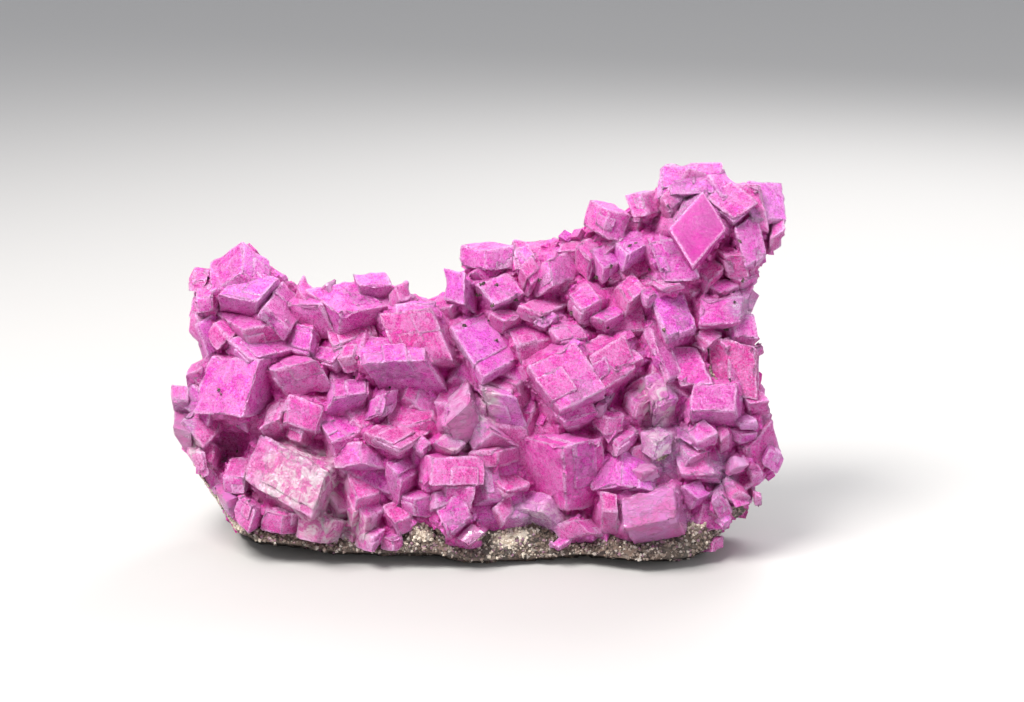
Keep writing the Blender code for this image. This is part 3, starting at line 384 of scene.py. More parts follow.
RIGHT_PEAK = (
    (19.6, 23.6, 18.0, 27.6, 22.2, 24.6, 19.6, 22.8, 5.0, "pale"),
    (22.8, 24.8, 23.0, 27.2, 26.6, 25.0, 23.6, 24.2, 3.6, "pink"),
    (26.8, 23.6, 26.4, 26.2, 29.1, 23.5, 26.2, 22.8, 2.4, "pale"),
    (27.6, 27.4, 28.5, 29.0, 26.8, 26.6, 28.6, 26.4, 0.6, "mauve"),
    (24.2, 22.9, 23.0, 23.7, 25.4, 23.9, 23.6, 21.9, 3.0, "mauve"),
    (24.5, 18.7, 22.9, 22.0, 21.6, 18.6, 24.9, 18.0, 4.4, "pink"),
    (19.9, 19.2, 18.1, 24.0, 21.4, 19.6, 19.4, 18.6, 5.0, "pale"),
    (26.2, 18.4, 26.0, 21.8, 29.4, 18.6, 25.9, 17.8, 2.4, "pink"),
    (17.6, 33.6, 20.7, 33.7, 17.4, 35.1, 19.0, 30.2, 4.6, "pale"),
    (21.0, 29.3, 18.1, 31.0, 19.4, 28.7, 21.4, 28.8, 4.4, "deep"),
    (22.3, 30.9, 19.8, 35.0, 25.9, 35.0, 22.3, 30.0, 7.0, "glassy"),
    (19.0, 38.5, 19.1, 41.7, 25.4, 38.8, 18.6, 38.0, 3.0, "pale"),
    (25.6, 38.2, 23.9, 40.6, 27.3, 39.1, 25.4, 37.4, 2.8, "pale"),
    # Painted light: this crystal's glow tone is light shining through it from behind.
    (28.4, 36.0, 27.9, 40.1, 32.3, 35.9, 28.2, 35.4, 2.5, "glow"),
    (27.8, 30.8, 26.7, 35.2, 30.2, 32.4, 27.6, 30.2, 3.2, "pale"),
    (26.6, 36.0, 24.2, 37.9, 28.8, 37.4, 26.4, 35.2, 4.6, "pale"),
    (30.6, 34.0, 30.4, 35.6, 32.0, 34.9, 30.2, 32.2, 1.2, "pink"),
    (17.6, 36.4, 16.8, 38.7, 19.4, 36.8, 16.0, 36.2, 2.4, "pink"),
    (20.2, 36.6, 19.2, 38.0, 21.2, 38.0, 19.9, 35.6, 3.6, "deep"),
    (25.6, 32.2, 24.4, 33.2, 27.4, 32.2, 26.0, 30.2, 3.4, "deep"),
    (15.4, 32.2, 14.0, 33.8, 17.4, 33.4, 15.0, 30.6, 3.0, "pale"),
    (13.0, 30.8, 11.8, 32.4, 14.6, 31.6, 12.8, 29.4, 3.0, "pale"),
    (15.6, 27.2, 14.4, 28.8, 17.2, 28.4, 15.2, 25.8, 3.6, "pink"),
    (13.2, 25.2, 11.8, 25.8, 15.2, 26.2, 13.0, 24.2, 3.8, "pink"),
    (24.0, 29.4, 22.8, 30.6, 25.4, 30.6, 23.6, 28.2, 2.6, "deep"),
    (25.2, 28.2, 24.0, 28.9, 26.9, 28.9, 25.0, 27.3, 2.4, "pink"),
    (27.6, 29.4, 26.2, 30.0, 29.3, 30.2, 27.4, 28.4, 2.0, "pink"),
)
SMALL = (
    (-28.6, 29.6, -28.4, 30.8, -30.1, 29.7, -29.2, 28.3, 1.5, "pink"),
    (-30.6, 16.9, -30.6, 18.6, -32.4, 17.0, -30.2, 15.4, 1.0, "pink"),
    (-9.2, 2.6, -10.6, 2.8, -7.9, 2.9, -9.1, 1.1, 3.0, "pink"),
    (-15.8, 28.2, -16.2, 29.1, -14.8, 28.8, -16.9, 27.4, 0.5, "clear"),
    (-6.2, 11.4, -7.1, 12.0, -5.2, 12.4, -6.0, 10.9, 3.0, "pale"),
    (8.4, 1.6, 7.3, 2.0, 9.6, 2.4, 8.3, 1.1, 2.5, "pink"),
    (4.9, 31.4, 4.0, 32.6, 5.9, 31.9, 4.4, 30.4, 2.4, "pale"),
    (13.4, 15.0, 12.2, 15.9, 15.0, 15.4, 13.2, 13.6, 4.0, "mauve"),
    (14.5, 5.2, 14.4, 6.9, 13.0, 5.4, 14.5, 3.3, 5.5, "deep"),
    (24.6, 2.2, 25.8, 2.9, 23.2, 2.2, 24.4, 0.7, 2.0, "mauve"),
    (25.7, 4.1, 24.8, 5.1, 26.6, 4.7, 25.4, 3.2, 2.2, "pale"),
    (25.2, 12.8, 24.7, 13.9, 26.1, 13.4, 25.2, 11.5, 3.6, "deep"),
    (26.9, 17.0, 26.4, 17.9, 27.8, 17.4, 26.6, 16.0, 3.0, "white"),
    (28.2, 16.6, 27.3, 17.8, 30.0, 16.8, 28.2, 15.5, 2.4, "pink"),
    (27.0, 14.6, 26.0, 15.5, 28.6, 14.8, 27.2, 13.9, 3.2, "white"),
    (27.4, 13.3, 26.3, 13.9, 28.9, 13.6, 27.2, 12.5, 3.0, "pale"),
    (26.8, 10.0, 26.5, 11.2, 28.4, 10.2, 25.8, 9.1, 3.4, "clear"),
    (28.9, 7.0, 28.2, 8.2, 29.7, 6.8, 28.8, 5.8, 1.2, "deep"),
    (28.6, 9.0, 28.0, 10.0, 29.8, 9.4, 28.4, 8.0, 1.6, "pink"),
    (28.9, 22.2, 28.5, 22.9, 29.8, 22.7, 28.9, 21.4, 0.2, "mauve"),
    (25.9, 22.4, 25.3, 23.1, 26.7, 22.9, 25.9, 21.7, 2.6, "deep"),
    (17.5, 27.6, 16.9, 28.3, 18.4, 28.1, 17.5, 26.8, 3.8, "pale"),
)

CRYSTALS = LEFT_LOBE + LEFT_FLANK + SADDLE + HEART + RIGHT_SLOPE + RIGHT_PEAK

# The specimen's limits on the chart, clockwise from the left. No crystal of the rim reaches past them.
LIMITS = (
    (-31.0, 25.1), (-30.1, 27.3), (-30.1, 29.8), (-28.4, 31.0), (-26.5, 32.2), (-24.8, 33.9), (-23.0, 32.9),
    (-22.0, 31.4), (-19.9, 29.9), (-17.0, 28.0), (-15.0, 29.4), (-13.3, 30.5), (-10.0, 30.2), (-7.6, 29.1),
    (-5.5, 27.8), (-3.2, 29.0), (-2.2, 31.5), (1.8, 33.1), (3.4, 33.8), (7.5, 34.45), (9.8, 34.2),
    (13.0, 36.9), (15.3, 37.3), (18.5, 38.6), (19.1, 41.7), (23.0, 42.2), (25.3, 41.7), (28.0, 40.1),
    (31.8, 40.2), (32.4, 36.0), (30.2, 32.0), (29.0, 29.0), (28.4, 25.6), (29.9, 22.8), (29.2, 21.2),
    (29.6, 18.5), (30.6, 17.3), (31.2, 13.5), (32.0, 10.5), (29.5, 8.3), (29.8, 6.2), (26.6, 4.5),
    (25.2, 1.5), (21.9, 0.4), (14.0, 0.0), (3.8, 0.0), (-5.0, 1.0), (-15.0, 1.0), (-23.0, 2.1),
    (-26.0, 3.1), (-29.2, 8.5), (-31.2, 11.0), (-32.4, 13.5), (-32.4, 17.4), (-30.9, 18.6), (-29.3, 21.0),
    (-29.8, 23.2),
)

# The crust's edge on the chart, a little inside those limits, and the rock's edge inside that, with the foot
# that they share.
FOOT_EDGE = (
    (25.6, 3.8), (24.0, 1.4), (21.5, 0.4), (17.0, 0.2), (11.0, 0.8), (5.0, 0.3), (-1.0, 0.1), (-5.0, 0.9),
    (-10.0, 0.9), (-15.0, 1.0), (-19.0, 1.7), (-23.0, 2.1), (-25.6, 3.2), (-26.8, 6.0),
)
CRUST_EDGE = (
    (-29.0, 25.0), (-28.6, 28.0), (-26.6, 30.2), (-24.5, 31.4), (-21.8, 29.4), (-18.5, 27.0), (-15.0, 27.2),
    (-11.5, 28.2), (-8.2, 27.0), (-5.4, 25.8), (-2.4, 27.6), (-0.6, 30.4), (3.0, 31.0), (7.0, 32.4),
    (10.8, 33.0), (14.0, 34.8), (17.2, 36.4), (20.0, 39.2), (24.0, 39.6), (27.4, 37.6), (29.8, 37.4),
    (30.2, 35.0), (28.2, 31.6), (27.2, 28.6), (26.8, 25.4), (27.4, 22.6), (27.4, 19.4), (28.6, 16.6),
    (29.4, 13.4), (29.8, 10.8), (27.8, 8.4), (27.4, 6.0), *FOOT_EDGE, (-28.0, 9.0), (-29.6, 12.0),
    (-30.0, 15.0), (-29.2, 18.0), (-28.0, 20.6), (-27.6, 22.8),
)
ROCK_EDGE = (
    (-26.2, 25.0), (-25.6, 27.4), (-23.8, 28.2), (-20.5, 25.4), (-15.5, 24.4), (-11.0, 25.0), (-6.0, 23.2),
    (-1.0, 24.8), (2.0, 27.8), (7.0, 29.0), (11.0, 29.8), (15.0, 31.6), (18.6, 33.6), (21.4, 36.0),
    (24.4, 36.2), (27.0, 34.4), (25.4, 31.0), (24.2, 27.6), (23.8, 24.0), (24.6, 20.0), (25.8, 16.0),
    (26.6, 12.6), (25.6, 9.6), (25.8, 6.6), *FOOT_EDGE, (-27.6, 9.0), (-27.4, 12.0), (-26.8, 15.4),
    (-26.0, 18.4), (-25.2, 21.0), (-25.4, 23.2),
)

# The height at which the crust stops above the bare rock of the foot, across the front.
FOOT_LINE = (
    (-33.0, 12.0), (-29.5, 10.8), (-27.5, 7.6), (-26.0, 4.8), (-23.0, 3.2), (-18.0, 2.4), (-12.0, 1.7),
    (-8.6, 2.0), (-7.2, 3.9), (-4.6, 3.9), (-3.4, 1.7), (0.0, 1.3), (1.4, 3.6), (5.0, 3.8), (8.0, 3.0),
    (9.5, 1.5), (12.0, 2.2), (16.0, 2.2), (18.0, 1.3), (20.0, 3.4), (24.0, 3.9), (26.0, 4.8), (27.5, 5.8),
    (33.0, 7.0),
)

# Hollows between the crystals: where, how wide and how deep.
HOLLOWS = (
    (-26.0, 11.8, 3.2, 4.0), (-16.8, 23.0, 1.2, 1.5), (-17.2, 12.0, 1.0, 1.5), (-11.4, 19.6, 1.3, 1.2),
    (-3.1, 19.9, 1.3, 1.5), (-5.6, 11.0, 0.9, 1.5), (5.2, 16.2, 1.2, 2.0), (4.4, 7.0, 0.9, 1.2),
    (0.7, 4.8, 0.9, 1.2), (11.6, 6.3, 1.6, 2.5), (9.2, 4.8, 0.8, 1.2), (15.0, 17.4, 0.9, 1.2),
    (16.7, 30.1, 0.9, 1.5), (22.3, 25.5, 0.9, 1.4), (21.5, 17.2, 0.9, 1.5), (24.9, 20.3, 0.9, 1.2),
)


def unit(vector):
    """A direction with a length of one."""
    return vector / np.linalg.norm(vector)


def axes():
    """The chart's directions: across, up the lean and out of it."""
    across = np.array((1.0, 0.0, 0.0))
    up_lean = np.array((0.0, math.sin(LEAN), math.cos(LEAN)))
    outward = np.array((0.0, -math.cos(LEAN), math.sin(LEAN)))
    return across, up_lean, outward


def chart_point(u, v):
    """A point of the leaning plane itself."""
    across, up_lean, _ = axes()
    return np.array((0.0, FRONT_Y, 0.0)) + u * across + v * up_lean


def eye_point():
    """The eye that the chart is drawn from."""
    return chart_point(EYE_U, EYE_V) + EYE_DISTANCE * axes()[2]


def place(u, v, lift):
    """The point that stands lift out of the plane and is seen at u and v."""
    eye = eye_point()
    return eye + (chart_point(u, v) - eye) * (1.0 - lift / EYE_DISTANCE)


def seen_at(point):
    """The u and v at which a point is seen."""
    across, up_lean, outward = axes()
    eye = eye_point()
    ray = point - eye
    ray = ray * (EYE_DISTANCE / -ray.dot(outward))
    hit = eye + ray - np.array((0.0, FRONT_Y, 0.0))
    return hit.dot(across), hit.dot(up_lean)


def angle_error(edges, signs):
    """How far three edges are from a rhombohedron's corner, for every trial depth at once."""
    lengths = [np.linalg.norm(edge, axis=-1) for edge in edges]
    error = UNEVEN_EDGES * np.var(lengths, axis=0) / np.mean(lengths, axis=0) ** 2
    for first, second, sign in ((0, 1, signs[2]), (1, 2, signs[0]), (0, 2, signs[1])):
        cosine = (edges[first] * edges[second]).sum(axis=-1) / (lengths[first] * lengths[second])
        error = error + (cosine - sign * CORNER_COSINE) ** 2
    return error


def best_depths(starts, rays, centre, spread, signs):
    """The best of a block of trial depths around a centre."""
    steps = [np.linspace(middle - spread, middle + spread, DEPTH_TRIALS) for middle in centre]
    steps = [np.clip(step, SHORTEST_EDGE, LONGEST_EDGE) for step in steps]
    trials = np.stack(np.meshgrid(*steps, indexing="ij"), axis=-1).reshape(-1, 3)
    edges = [starts[k] + trials[:, k:k + 1] * rays[k] for k in range(3)]
    error = angle_error(edges, signs)
    best = int(np.argmin(error))
    return trials[best], float(error[best])


def far_ends(row):
    """The far ends of a drawn crystal's three edges on the chart."""
    return (row[2], row[3]), (row[4], row[5]), (row[6], row[7])


def corner_edges(row, lift):
    """A drawn crystal's nearest corner and edges, at the depths that make it most nearly a rhombohedron."""
    nearest = place(row[0], row[1], lift)
    ends = far_ends(row)
    starts = [place(u, v, lift) - nearest for u, v in ends]
    rays = [(chart_point(u, v) - eye_point()) / EYE_DISTANCE for u, v in ends]
    found = []
    for signs in CORNER_SIGNS:
        depths = (FIRST_DEPTH,) * 3
        for spread in DEPTH_SPREADS:
            depths, error = best_depths(starts, rays, depths, spread, signs)
        found.append((error, tuple(depths)))
    depths = min(found)[1]
    return nearest, [starts[k] + depths[k] * rays[k] for k in range(3)]


def block_corners(nearest, edges):
    """The eight corners of the block with these edges."""
    corners = []
    for index in range(8):
        corner = nearest.copy()
        for bit in range(3):
            if index >> bit & 1:
                corner = corner + edges[bit]
        corners.append(corner)
    return corners


def closed_mesh(name, points, faces):
    """A closed mesh whose faces look outward."""
    mesh = bpy.data.meshes.new(name)
    mesh.from_pydata([tuple(point) for point in points], [], faces)
    shape = bmesh.new()
    shape.from_mesh(mesh)
    bmesh.ops.recalc_face_normals(shape, faces=shape.faces)
    if shape.calc_volume(signed=True) < 0.0:
        bmesh.ops.reverse_faces(shape, faces=shape.faces)
    bmesh.ops.triangulate(shape, faces=shape.faces)
    shape.to_mesh(mesh)
    shape.free()
    return mesh


def inside(u, v, loop):
    """Whether a chart point lies inside a loop."""
    hit = False
    for (au, av), (bu, bv) in zip(loop, loop[1:] + loop[:1]):
        if (av > v) != (bv > v) and u < au + (bu - au) * (v - av) / (bv - av):
            hit = not hit
    return hit


def distance_to(u, v, loop):
    """The distance from a chart point to a loop."""
    nearest = 1e9
    for (au, av), (bu, bv) in zip(loop, loop[1:] + loop[:1]):
        along = ((u - au) * (bu - au) + (v - av) * (bv - av)) / ((bu - au) ** 2 + (bv - av) ** 2)
        along = min(1.0, max(0.0, along))
        nearest = min(nearest, math.hypot(u - au - along * (bu - au), v - av - along * (bv - av)))
    return nearest


def outward_of(loop, index):
    """The outward direction on the chart at a point of a clockwise loop."""
    before = loop[index - 1]
    after = loop[(index + 1) % len(loop)]
    du = after[0] - before[0]
    dv = after[1] - before[1]
    size = math.hypot(du, dv)
    return -dv / size, du / size


def crust_lift(u, v):
    """The level at which the crystals grow together, lower in the hollows."""
    corners = np.array([(row[0], row[1], row[8]) for row in CRYSTALS])
    squares = (corners[:, 0] - u) ** 2 + (corners[:, 1] - v) ** 2
    weights = np.exp(-squares / (2.0 * BLEND_RADIUS ** 2)) + 1e-9
    lift = float((weights * corners[:, 2]).sum() / weights.sum()) - CRYSTAL_ROOT
    for pit_u, pit_v, radius, depth in HOLLOWS:
        away = (u - pit_u) ** 2 + (v - pit_v) ** 2
        lift -= depth * math.exp(-away / (2.0 * (HOLLOW_SLOPE * radius) ** 2))
    return lift


def floor_lift(v):
    """The lift at which a point seen at v lies just under the floor."""
    return -(v + UNDER_FLOOR) / math.tan(LEAN)


def border_lift(u, v):
    """The lift of the front along an edge: it dips under the floor at the foot and falls back beside it."""
    lift = crust_lift(u, v) - BORDER_DIP
    if v < FOOT_TOP and abs(u) < FOOT_REACH:
        return min(lift, floor_lift(v))
    return lift - SIDE_FALL * max(0.0, 1.0 - v / SIDE_FALL_TOP) ** 1.5


def foot_height(u):
    """The height of the crust's lower edge at u."""
    return float(np.interp(u, *zip(*FOOT_LINE)))


def sheet_points(loop, rng):
    """Points that fill a loop: the loop itself, then a jittered grid inside it."""
    points = list(loop)
    columns, rows = (int(size / SHEET_SPACING) + 1 for size in SHEET_SIZE)
    for row in range(rows):
        for column in range(columns):
            u = SHEET_LEFT + SHEET_SPACING * (column + 0.5 * (row % 2))
            u += rng.uniform(-SHEET_JITTER, SHEET_JITTER)
            v = SHEET_SPACING * row + rng.uniform(-SHEET_JITTER, SHEET_JITTER)
            if inside(u, v, loop) and distance_to(u, v, loop) > 0.5 * SHEET_SPACING:
                points.append((u, v))
    return points


def sheet_triangles(points, count):
    """Triangles that join the points inside the loop made by the first of them."""
    flat = [Vector(point) for point in points]
    result = delaunay_2d_cdt(flat, [], [list(range(count))], 1, 1e-6)
    sources = [source[0] for source in result[3]]
    return [[sources[index] for index in face] for face in result[2]]


def slab(name, points, count, triangles, fronts, backs):
    """A closed body between a front sheet and a back sheet, with a wall around its edge."""
    total = len(points)
    corners = [place(u, v, lift) for (u, v), lift in zip(points, fronts)]
    corners += [place(u, v, lift) for (u, v), lift in zip(points, backs)]
    faces = [list(face) for face in triangles]
    faces += [[index + total for index in reversed(face)] for face in triangles]
    for index in range(count):
        after = (index + 1) % count
        faces.append([after, index, index + total, after + total])
    return closed_mesh(name, corners, faces)


def rock_back(u, v):
    """The rock's back: deep at the base and shallow at the crest, rounded off towards its edge."""
    rise = min(1.0, max(0.0, v / CREST_HEIGHT))
    deep = TOP_DEPTH + (BASE_DEPTH - TOP_DEPTH) * (1.0 - rise) ** 0.8
    inward = min(1.0, distance_to(u, v, ROCK_EDGE) / EDGE_ROUNDING)
    if v < 6.0 and abs(u) < 22.0:
        inward = 1.0
    return -(CRUST_RIM_DEPTH + (deep - CRUST_RIM_DEPTH) * math.sqrt(inward))


def rhomb_edges(axis, across, size, shares, rng):
    """The edges of a rhombohedron that runs back from a corner at the end of an axis."""
    side = unit(np.cross(axis, across))
    other = np.cross(axis, side)
    turn = rng.uniform(0.0, 2.0 * math.pi)
    edges = []
    for step in range(3):
        angle = turn + step * 2.0 * math.pi / 3.0
        flat = math.cos(angle) * side + math.sin(angle) * other
        edges.append(size * rng.uniform(*shares) * (EDGE_ACROSS * flat - EDGE_ALONG * axis))
    return edges


def rim_crystal(u, v, lift, direction, size, rng):
    """A rhombohedron at the crust's edge with one corner pointing outward."""
    across, up_lean, outward = axes()
    axis = direction[0] * across + direction[1] * up_lean
    tilt = np.array([rng.uniform(-RIM_TILT, RIM_TILT) for _ in range(3)])
    axis = unit(axis + tilt - RIM_FALL * outward)
    edges = rhomb_edges(axis, outward, size, RIM_EDGE_SHARES, rng)
    return place(u, v, lift) + RIM_RISE * size * axis, edges


def within_limits(nearest, edges):
    """Whether every corner of a block is seen inside the specimen's limits."""
    for corner in block_corners(nearest, edges):
        u, v = seen_at(corner)
        if not inside(u, v, LIMITS):
            return False
    return True


def rim_blocks(rng):
    """Crystals around the sides and the top of the crust's edge, shrunk where they would pass the limits."""
    blocks = []
    loop = list(CRUST_EDGE)
    for index, start in enumerate(loop):
        end = loop[(index + 1) % len(loop)]
        if max(start[1], end[1]) < 3.9 and abs(start[0]) < 26.0:
            continue
        steps = max(1, round(math.dist(start, end) / RIM_SPACING))
        for step in range(steps):
            for row in RIM_ROWS:
                along = (step + rng.uniform(0.2, 0.8)) / steps
                u = start[0] + along * (end[0] - start[0])
                v = start[1] + along * (end[1] - start[1])
                size = rng.uniform(*RIM_EDGE)
                lift = row + rng.uniform(-RIM_LIFT_JITTER, RIM_LIFT_JITTER)
                for _ in range(RIM_TRIES):
                    nearest, edges = rim_crystal(u, v, lift, outward_of(loop, index), size, rng)
                    if within_limits(nearest, edges):
                        blocks.append((nearest, edges))
                        break
                    size *= RIM_SHRINK
    return blocks


def drawn_faces():
    """The three faces of each crystal as they are seen on the chart."""
    faces = []
    for row in CRYSTALS:
        ends = far_ends(row)
        for a, b in zip(ends, ends[1:] + ends[:1]):
            faces.append(((row[0], row[1]), a, (a[0] + b[0] - row[0], a[1] + b[1] - row[1]), b))
    return faces


def filler_crystal(u, v, size, rng):
    """A rhombohedron that stands on the crust with one corner pointing roughly out of it."""
    across, up_lean, outward = axes()
    tilt_u = rng.uniform(-FILLER_TILT, FILLER_TILT)
    tilt_v = rng.uniform(-FILLER_TILT, FILLER_TILT)
    axis = unit(outward + tilt_u * across + tilt_v * up_lean)
    edges = rhomb_edges(axis, up_lean, size, FILLER_EDGE_SHARES, rng)
    return place(u, v, crust_lift(u, v) + FILLER_RISE * size), edges


def filler_blocks(rng):
    """Crystals on the parts of the front that the drawn crystals leave bare."""
    faces = drawn_faces()
    spots = [(u, v) for u in np.arange(-28.0, 29.0, FILLER_GRID) for v in np.arange(3.0, 38.0, FILLER_GRID)]
    rng.shuffle(spots)
    taken = []
    blocks = []
    for u, v in spots:
        if not inside(u, v, CRUST_EDGE) or v < foot_height(u) + FILLER_ABOVE_FOOT:
            continue
        if any(inside(u, v, face) for face in faces):
            continue
        if any(math.dist((u, v), spot) < FILLER_SPACING for spot in taken):
            continue
        taken.append((u, v))
        nearest, edges = filler_crystal(u, v, rng.uniform(*FILLER_EDGE), rng)
        if within_limits(nearest, edges):
            blocks.append((nearest, edges))
    return blocks


# Colours in sRGB steps: the tones of the crystals, and what the materials mix. The tones are partly painted
# light: pale is partly frost and partly painted light on faces seen lit from above, deep is partly a deeper
# colour and partly painted shade on crystals seen in shade, and the glow tone is a painted glow of light
# shining through a crystal from behind.
TONES = {
    "pale": (255, 142, 222),
    "pink": (255, 84, 200),
    "deep": (236, 24, 176),
    "mauve": (246, 88, 190),
    "clear": (218, 154, 204),
    "white": (240, 216, 236),
    "milky": (238, 160, 196),
    "glassy": (178, 86, 152),
    "glow": (255, 170, 234),
    "hero": (255, 92, 204),
    "bed": (196, 34, 140),
}

COLOURS = {
    "hot": (255, 132, 240),
    "vivid": (230, 14, 176),
    # Deep magenta for the fine pits: a painted shade in the low points of the bump.
    "painted_pit_shade": (172, 0, 122),
    "frost": (255, 180, 238),
    # Pale edges: partly frost along the crystals' edges, partly a painted highlight on them.
    "edge_frost_and_painted_highlight": (255, 210, 248),
    # Painted shade: deep saturated magenta for the gaps between crystals, standing in for the shade there and
    # the light bounced between the pink faces.
    "painted_gap_shade_dark": (214, 0, 142),
    "painted_gap_shade_bright": (255, 34, 196),
    "milk_pink": (224, 140, 186),
    "milk_white": (246, 224, 234),
    "pearl_lilac": (210, 138, 200),
    "pearl_white": (244, 224, 246),
    "blush": (214, 110, 178),
    "silk": (255, 240, 255),
    "rock_dark": (40, 30, 27),
    "rock_brown": (118, 98, 86),
    "rock_grey": (86, 78, 72),
    "rock_pale": (184, 172, 160),
    "cream_dull": (164, 148, 130),
    "cream_light": (232, 222, 208),
    "dust": (160, 140, 124),
    "floor": (180, 178, 176),
}

# Dark specks on the crystals, on the chart.
SPECKS = (
    (0.0, 29.1), (0.3, 29.2), (-0.2, 28.0), (0.1, 28.1), (1.7, 29.1), (4.1, 29.1), (3.7, 27.6), (1.3, 27.0),
    (0.9, 25.4), (-1.6, 24.8), (1.7, 23.2), (6.3, 29.6), (9.7, 26.2), (12.3, 29.9), (12.2, 29.3),
    (13.6, 29.7), (13.8, 31.0), (15.7, 33.2), (16.4, 33.5), (17.5, 32.3), (17.8, 30.7), (13.4, 24.6),
    (-13.1, 19.5), (-12.8, 19.3), (-9.6, 18.4), (-27.3, 18.1), (-27.2, 17.6), (26.6, 34.8), (27.2, 33.7),
    (27.6, 29.6), (26.7, 27.3), (25.9, 24.5), (19.3, 24.4), (17.4, 35.5),
)

# Places at the foot where the rock shows between the crystals: where on the chart, how wide and how high.
WINDOWS = (
    (-6.1, 2.5, 2.4, 1.3), (4.0, 2.4, 4.2, 1.5), (14.4, 1.2, 2.6, 1.1), (22.6, 2.4, 2.8, 1.7),
    (27.2, 5.4, 0.8, 0.8), (24.9, 20.3, 0.9, 1.0), (19.0, 11.2, 0.8, 0.6), (-29.6, 9.6, 1.6, 3.0),
    (-27.4, 5.4, 1.6, 2.6), (-24.2, 2.6, 2.0, 1.4), (24.2, 23.0, 0.5, 1.4),
)

# Milky white and glassy lilac parts of the crystals: where on the chart, how wide and how high.
MILKY = (
    (-18.9, 8.8, 4.6, 3.4), (-15.2, 3.6, 3.6, 1.8), (-2.6, 12.8, 1.5, 1.4), (6.4, 4.6, 2.4, 1.9),
    (-30.6, 11.6, 1.1, 2.4), (0.9, 16.2, 1.2, 2.4), (18.4, 16.5, 1.7, 3.0), (18.7, 12.4, 1.7, 1.8),
)
LILAC = (
    (18.6, 4.6, 3.6, 3.6), (19.6, 11.8, 2.4, 3.2), (-1.4, 15.0, 2.2, 3.2), (-31.2, 14.6, 1.2, 3.0),
    (25.2, 9.5, 1.6, 1.8), (27.6, 27.0, 1.6, 1.6), (22.4, 36.8, 2.4, 2.6), (5.6, 4.2, 2.8, 2.2),
)

# Pale granular patches of the rock: where on the chart, how wide and how high.
CREAM = (
    (23.1, 4.5, 1.8, 1.1), (-28.6, 9.6, 1.8, 2.2), (-27.2, 6.4, 1.6, 2.6), (-25.6, 4.0, 1.6, 1.2),
    (24.9, 20.3, 1.6, 1.6), (19.0, 11.2, 1.4, 1.2), (3.2, 2.6, 2.2, 1.2), (-6.0, 3.2, 1.2, 1.0),
)


def linear(rgb):
    """A colour given in sRGB steps as linear light."""
    parts = [part / 255.0 for part in rgb]
    return tuple(p / 12.92 if p <= 0.04045 else ((p + 0.055) / 1.055) ** 2.4 for p in parts)


def colour_of(name):
    """A material's colour."""
    return linear(COLOURS[name])


def hashed(i, j, k, seed):
    """A number from 0 to 1 for each cell of a lattice, mixed with large odd factors."""
    mixed = (i * 73856093) ^ (j * 19349663) ^ (k * 83492791) ^ (seed * 374761393)
    mixed = (mixed ^ (mixed >> 13)) & 0xFFFFFFFF
    mixed = (mixed * 1274126177) & 0xFFFFFFFF
    mixed = mixed ^ (mixed >> 16)
    return (mixed & 0xFFFFFF) / float(0xFFFFFF)


def field(points, scale, seed):
    """Smooth noise from 0 to 1 at each point."""
    moved = points * scale + 1000.0
    cell = np.floor(moved).astype(np.int64)
    part = moved - cell
    part = part * part * (3.0 - 2.0 * part)
    total = np.zeros(len(points))
    for index in range(8):
        bits = (index & 1, index >> 1 & 1, index >> 2 & 1)
        weight = np.ones(len(points))
        for axis, bit in enumerate(bits):
            weight = weight * (part[:, axis] if bit else 1.0 - part[:, axis])
        total += weight * hashed(cell[:, 0] + bits[0], cell[:, 1] + bits[1], cell[:, 2] + bits[2], seed)
    return total


def stepped(points, scale, seed):
    """The same noise in four steps."""
    return np.floor(4.0 * field(points, scale, seed)) / 4.0


def lattice_lines(length, step):
    """Where the lines of a face's grid run, closer together beside its edges."""
    near = [line / length for line in EDGE_LINES if line < 0.25 * length] or [0.2]
    count = max(1, round((1.0 - 2.0 * near[-1]) * length / step))
    middle = np.linspace(near[-1], 1.0 - near[-1], count + 1)
    return np.concatenate(([0.0], near[:-1], middle, [1.0 - line for line in reversed(near[:-1])], [1.0]))


def lattice_faces(counts):
    """The quads of a block's surface grid, as codes of their corners."""
    quads = []
    for axis in range(3):
        second = (axis + 1) % 3
        third = (axis + 2) % 3
        b, c = np.meshgrid(np.arange(counts[second]), np.arange(counts[third]), indexing="ij")
        b = b.ravel()
        c = c.ravel()
        for side in (0, counts[axis]):
            ring = []
            for step_b, step_c in ((0, 0), (1, 0), (1, 1), (0, 1)):
                code = np.zeros((len(b), 3), np.int64)
                code[:, axis] = side
                code[:, second] = b + step_b
                code[:, third] = c + step_c
                ring.append((code[:, 0] * CODE_BASE + code[:, 1]) * CODE_BASE + code[:, 2])
            if side == 0:
                ring = ring[::-1]
            quads.append(np.stack(ring, axis=1))
    return np.concatenate(quads)


def block_normals(edges):
    """The unit normals of a block's faces, each on the side its edge points to."""
    normals = []
    for axis in range(3):
        normal = unit(np.cross(edges[(axis + 1) % 3], edges[(axis + 2) % 3]))
        normals.append(normal if normal.dot(edges[axis]) > 0.0 else -normal)
    return np.array(normals)


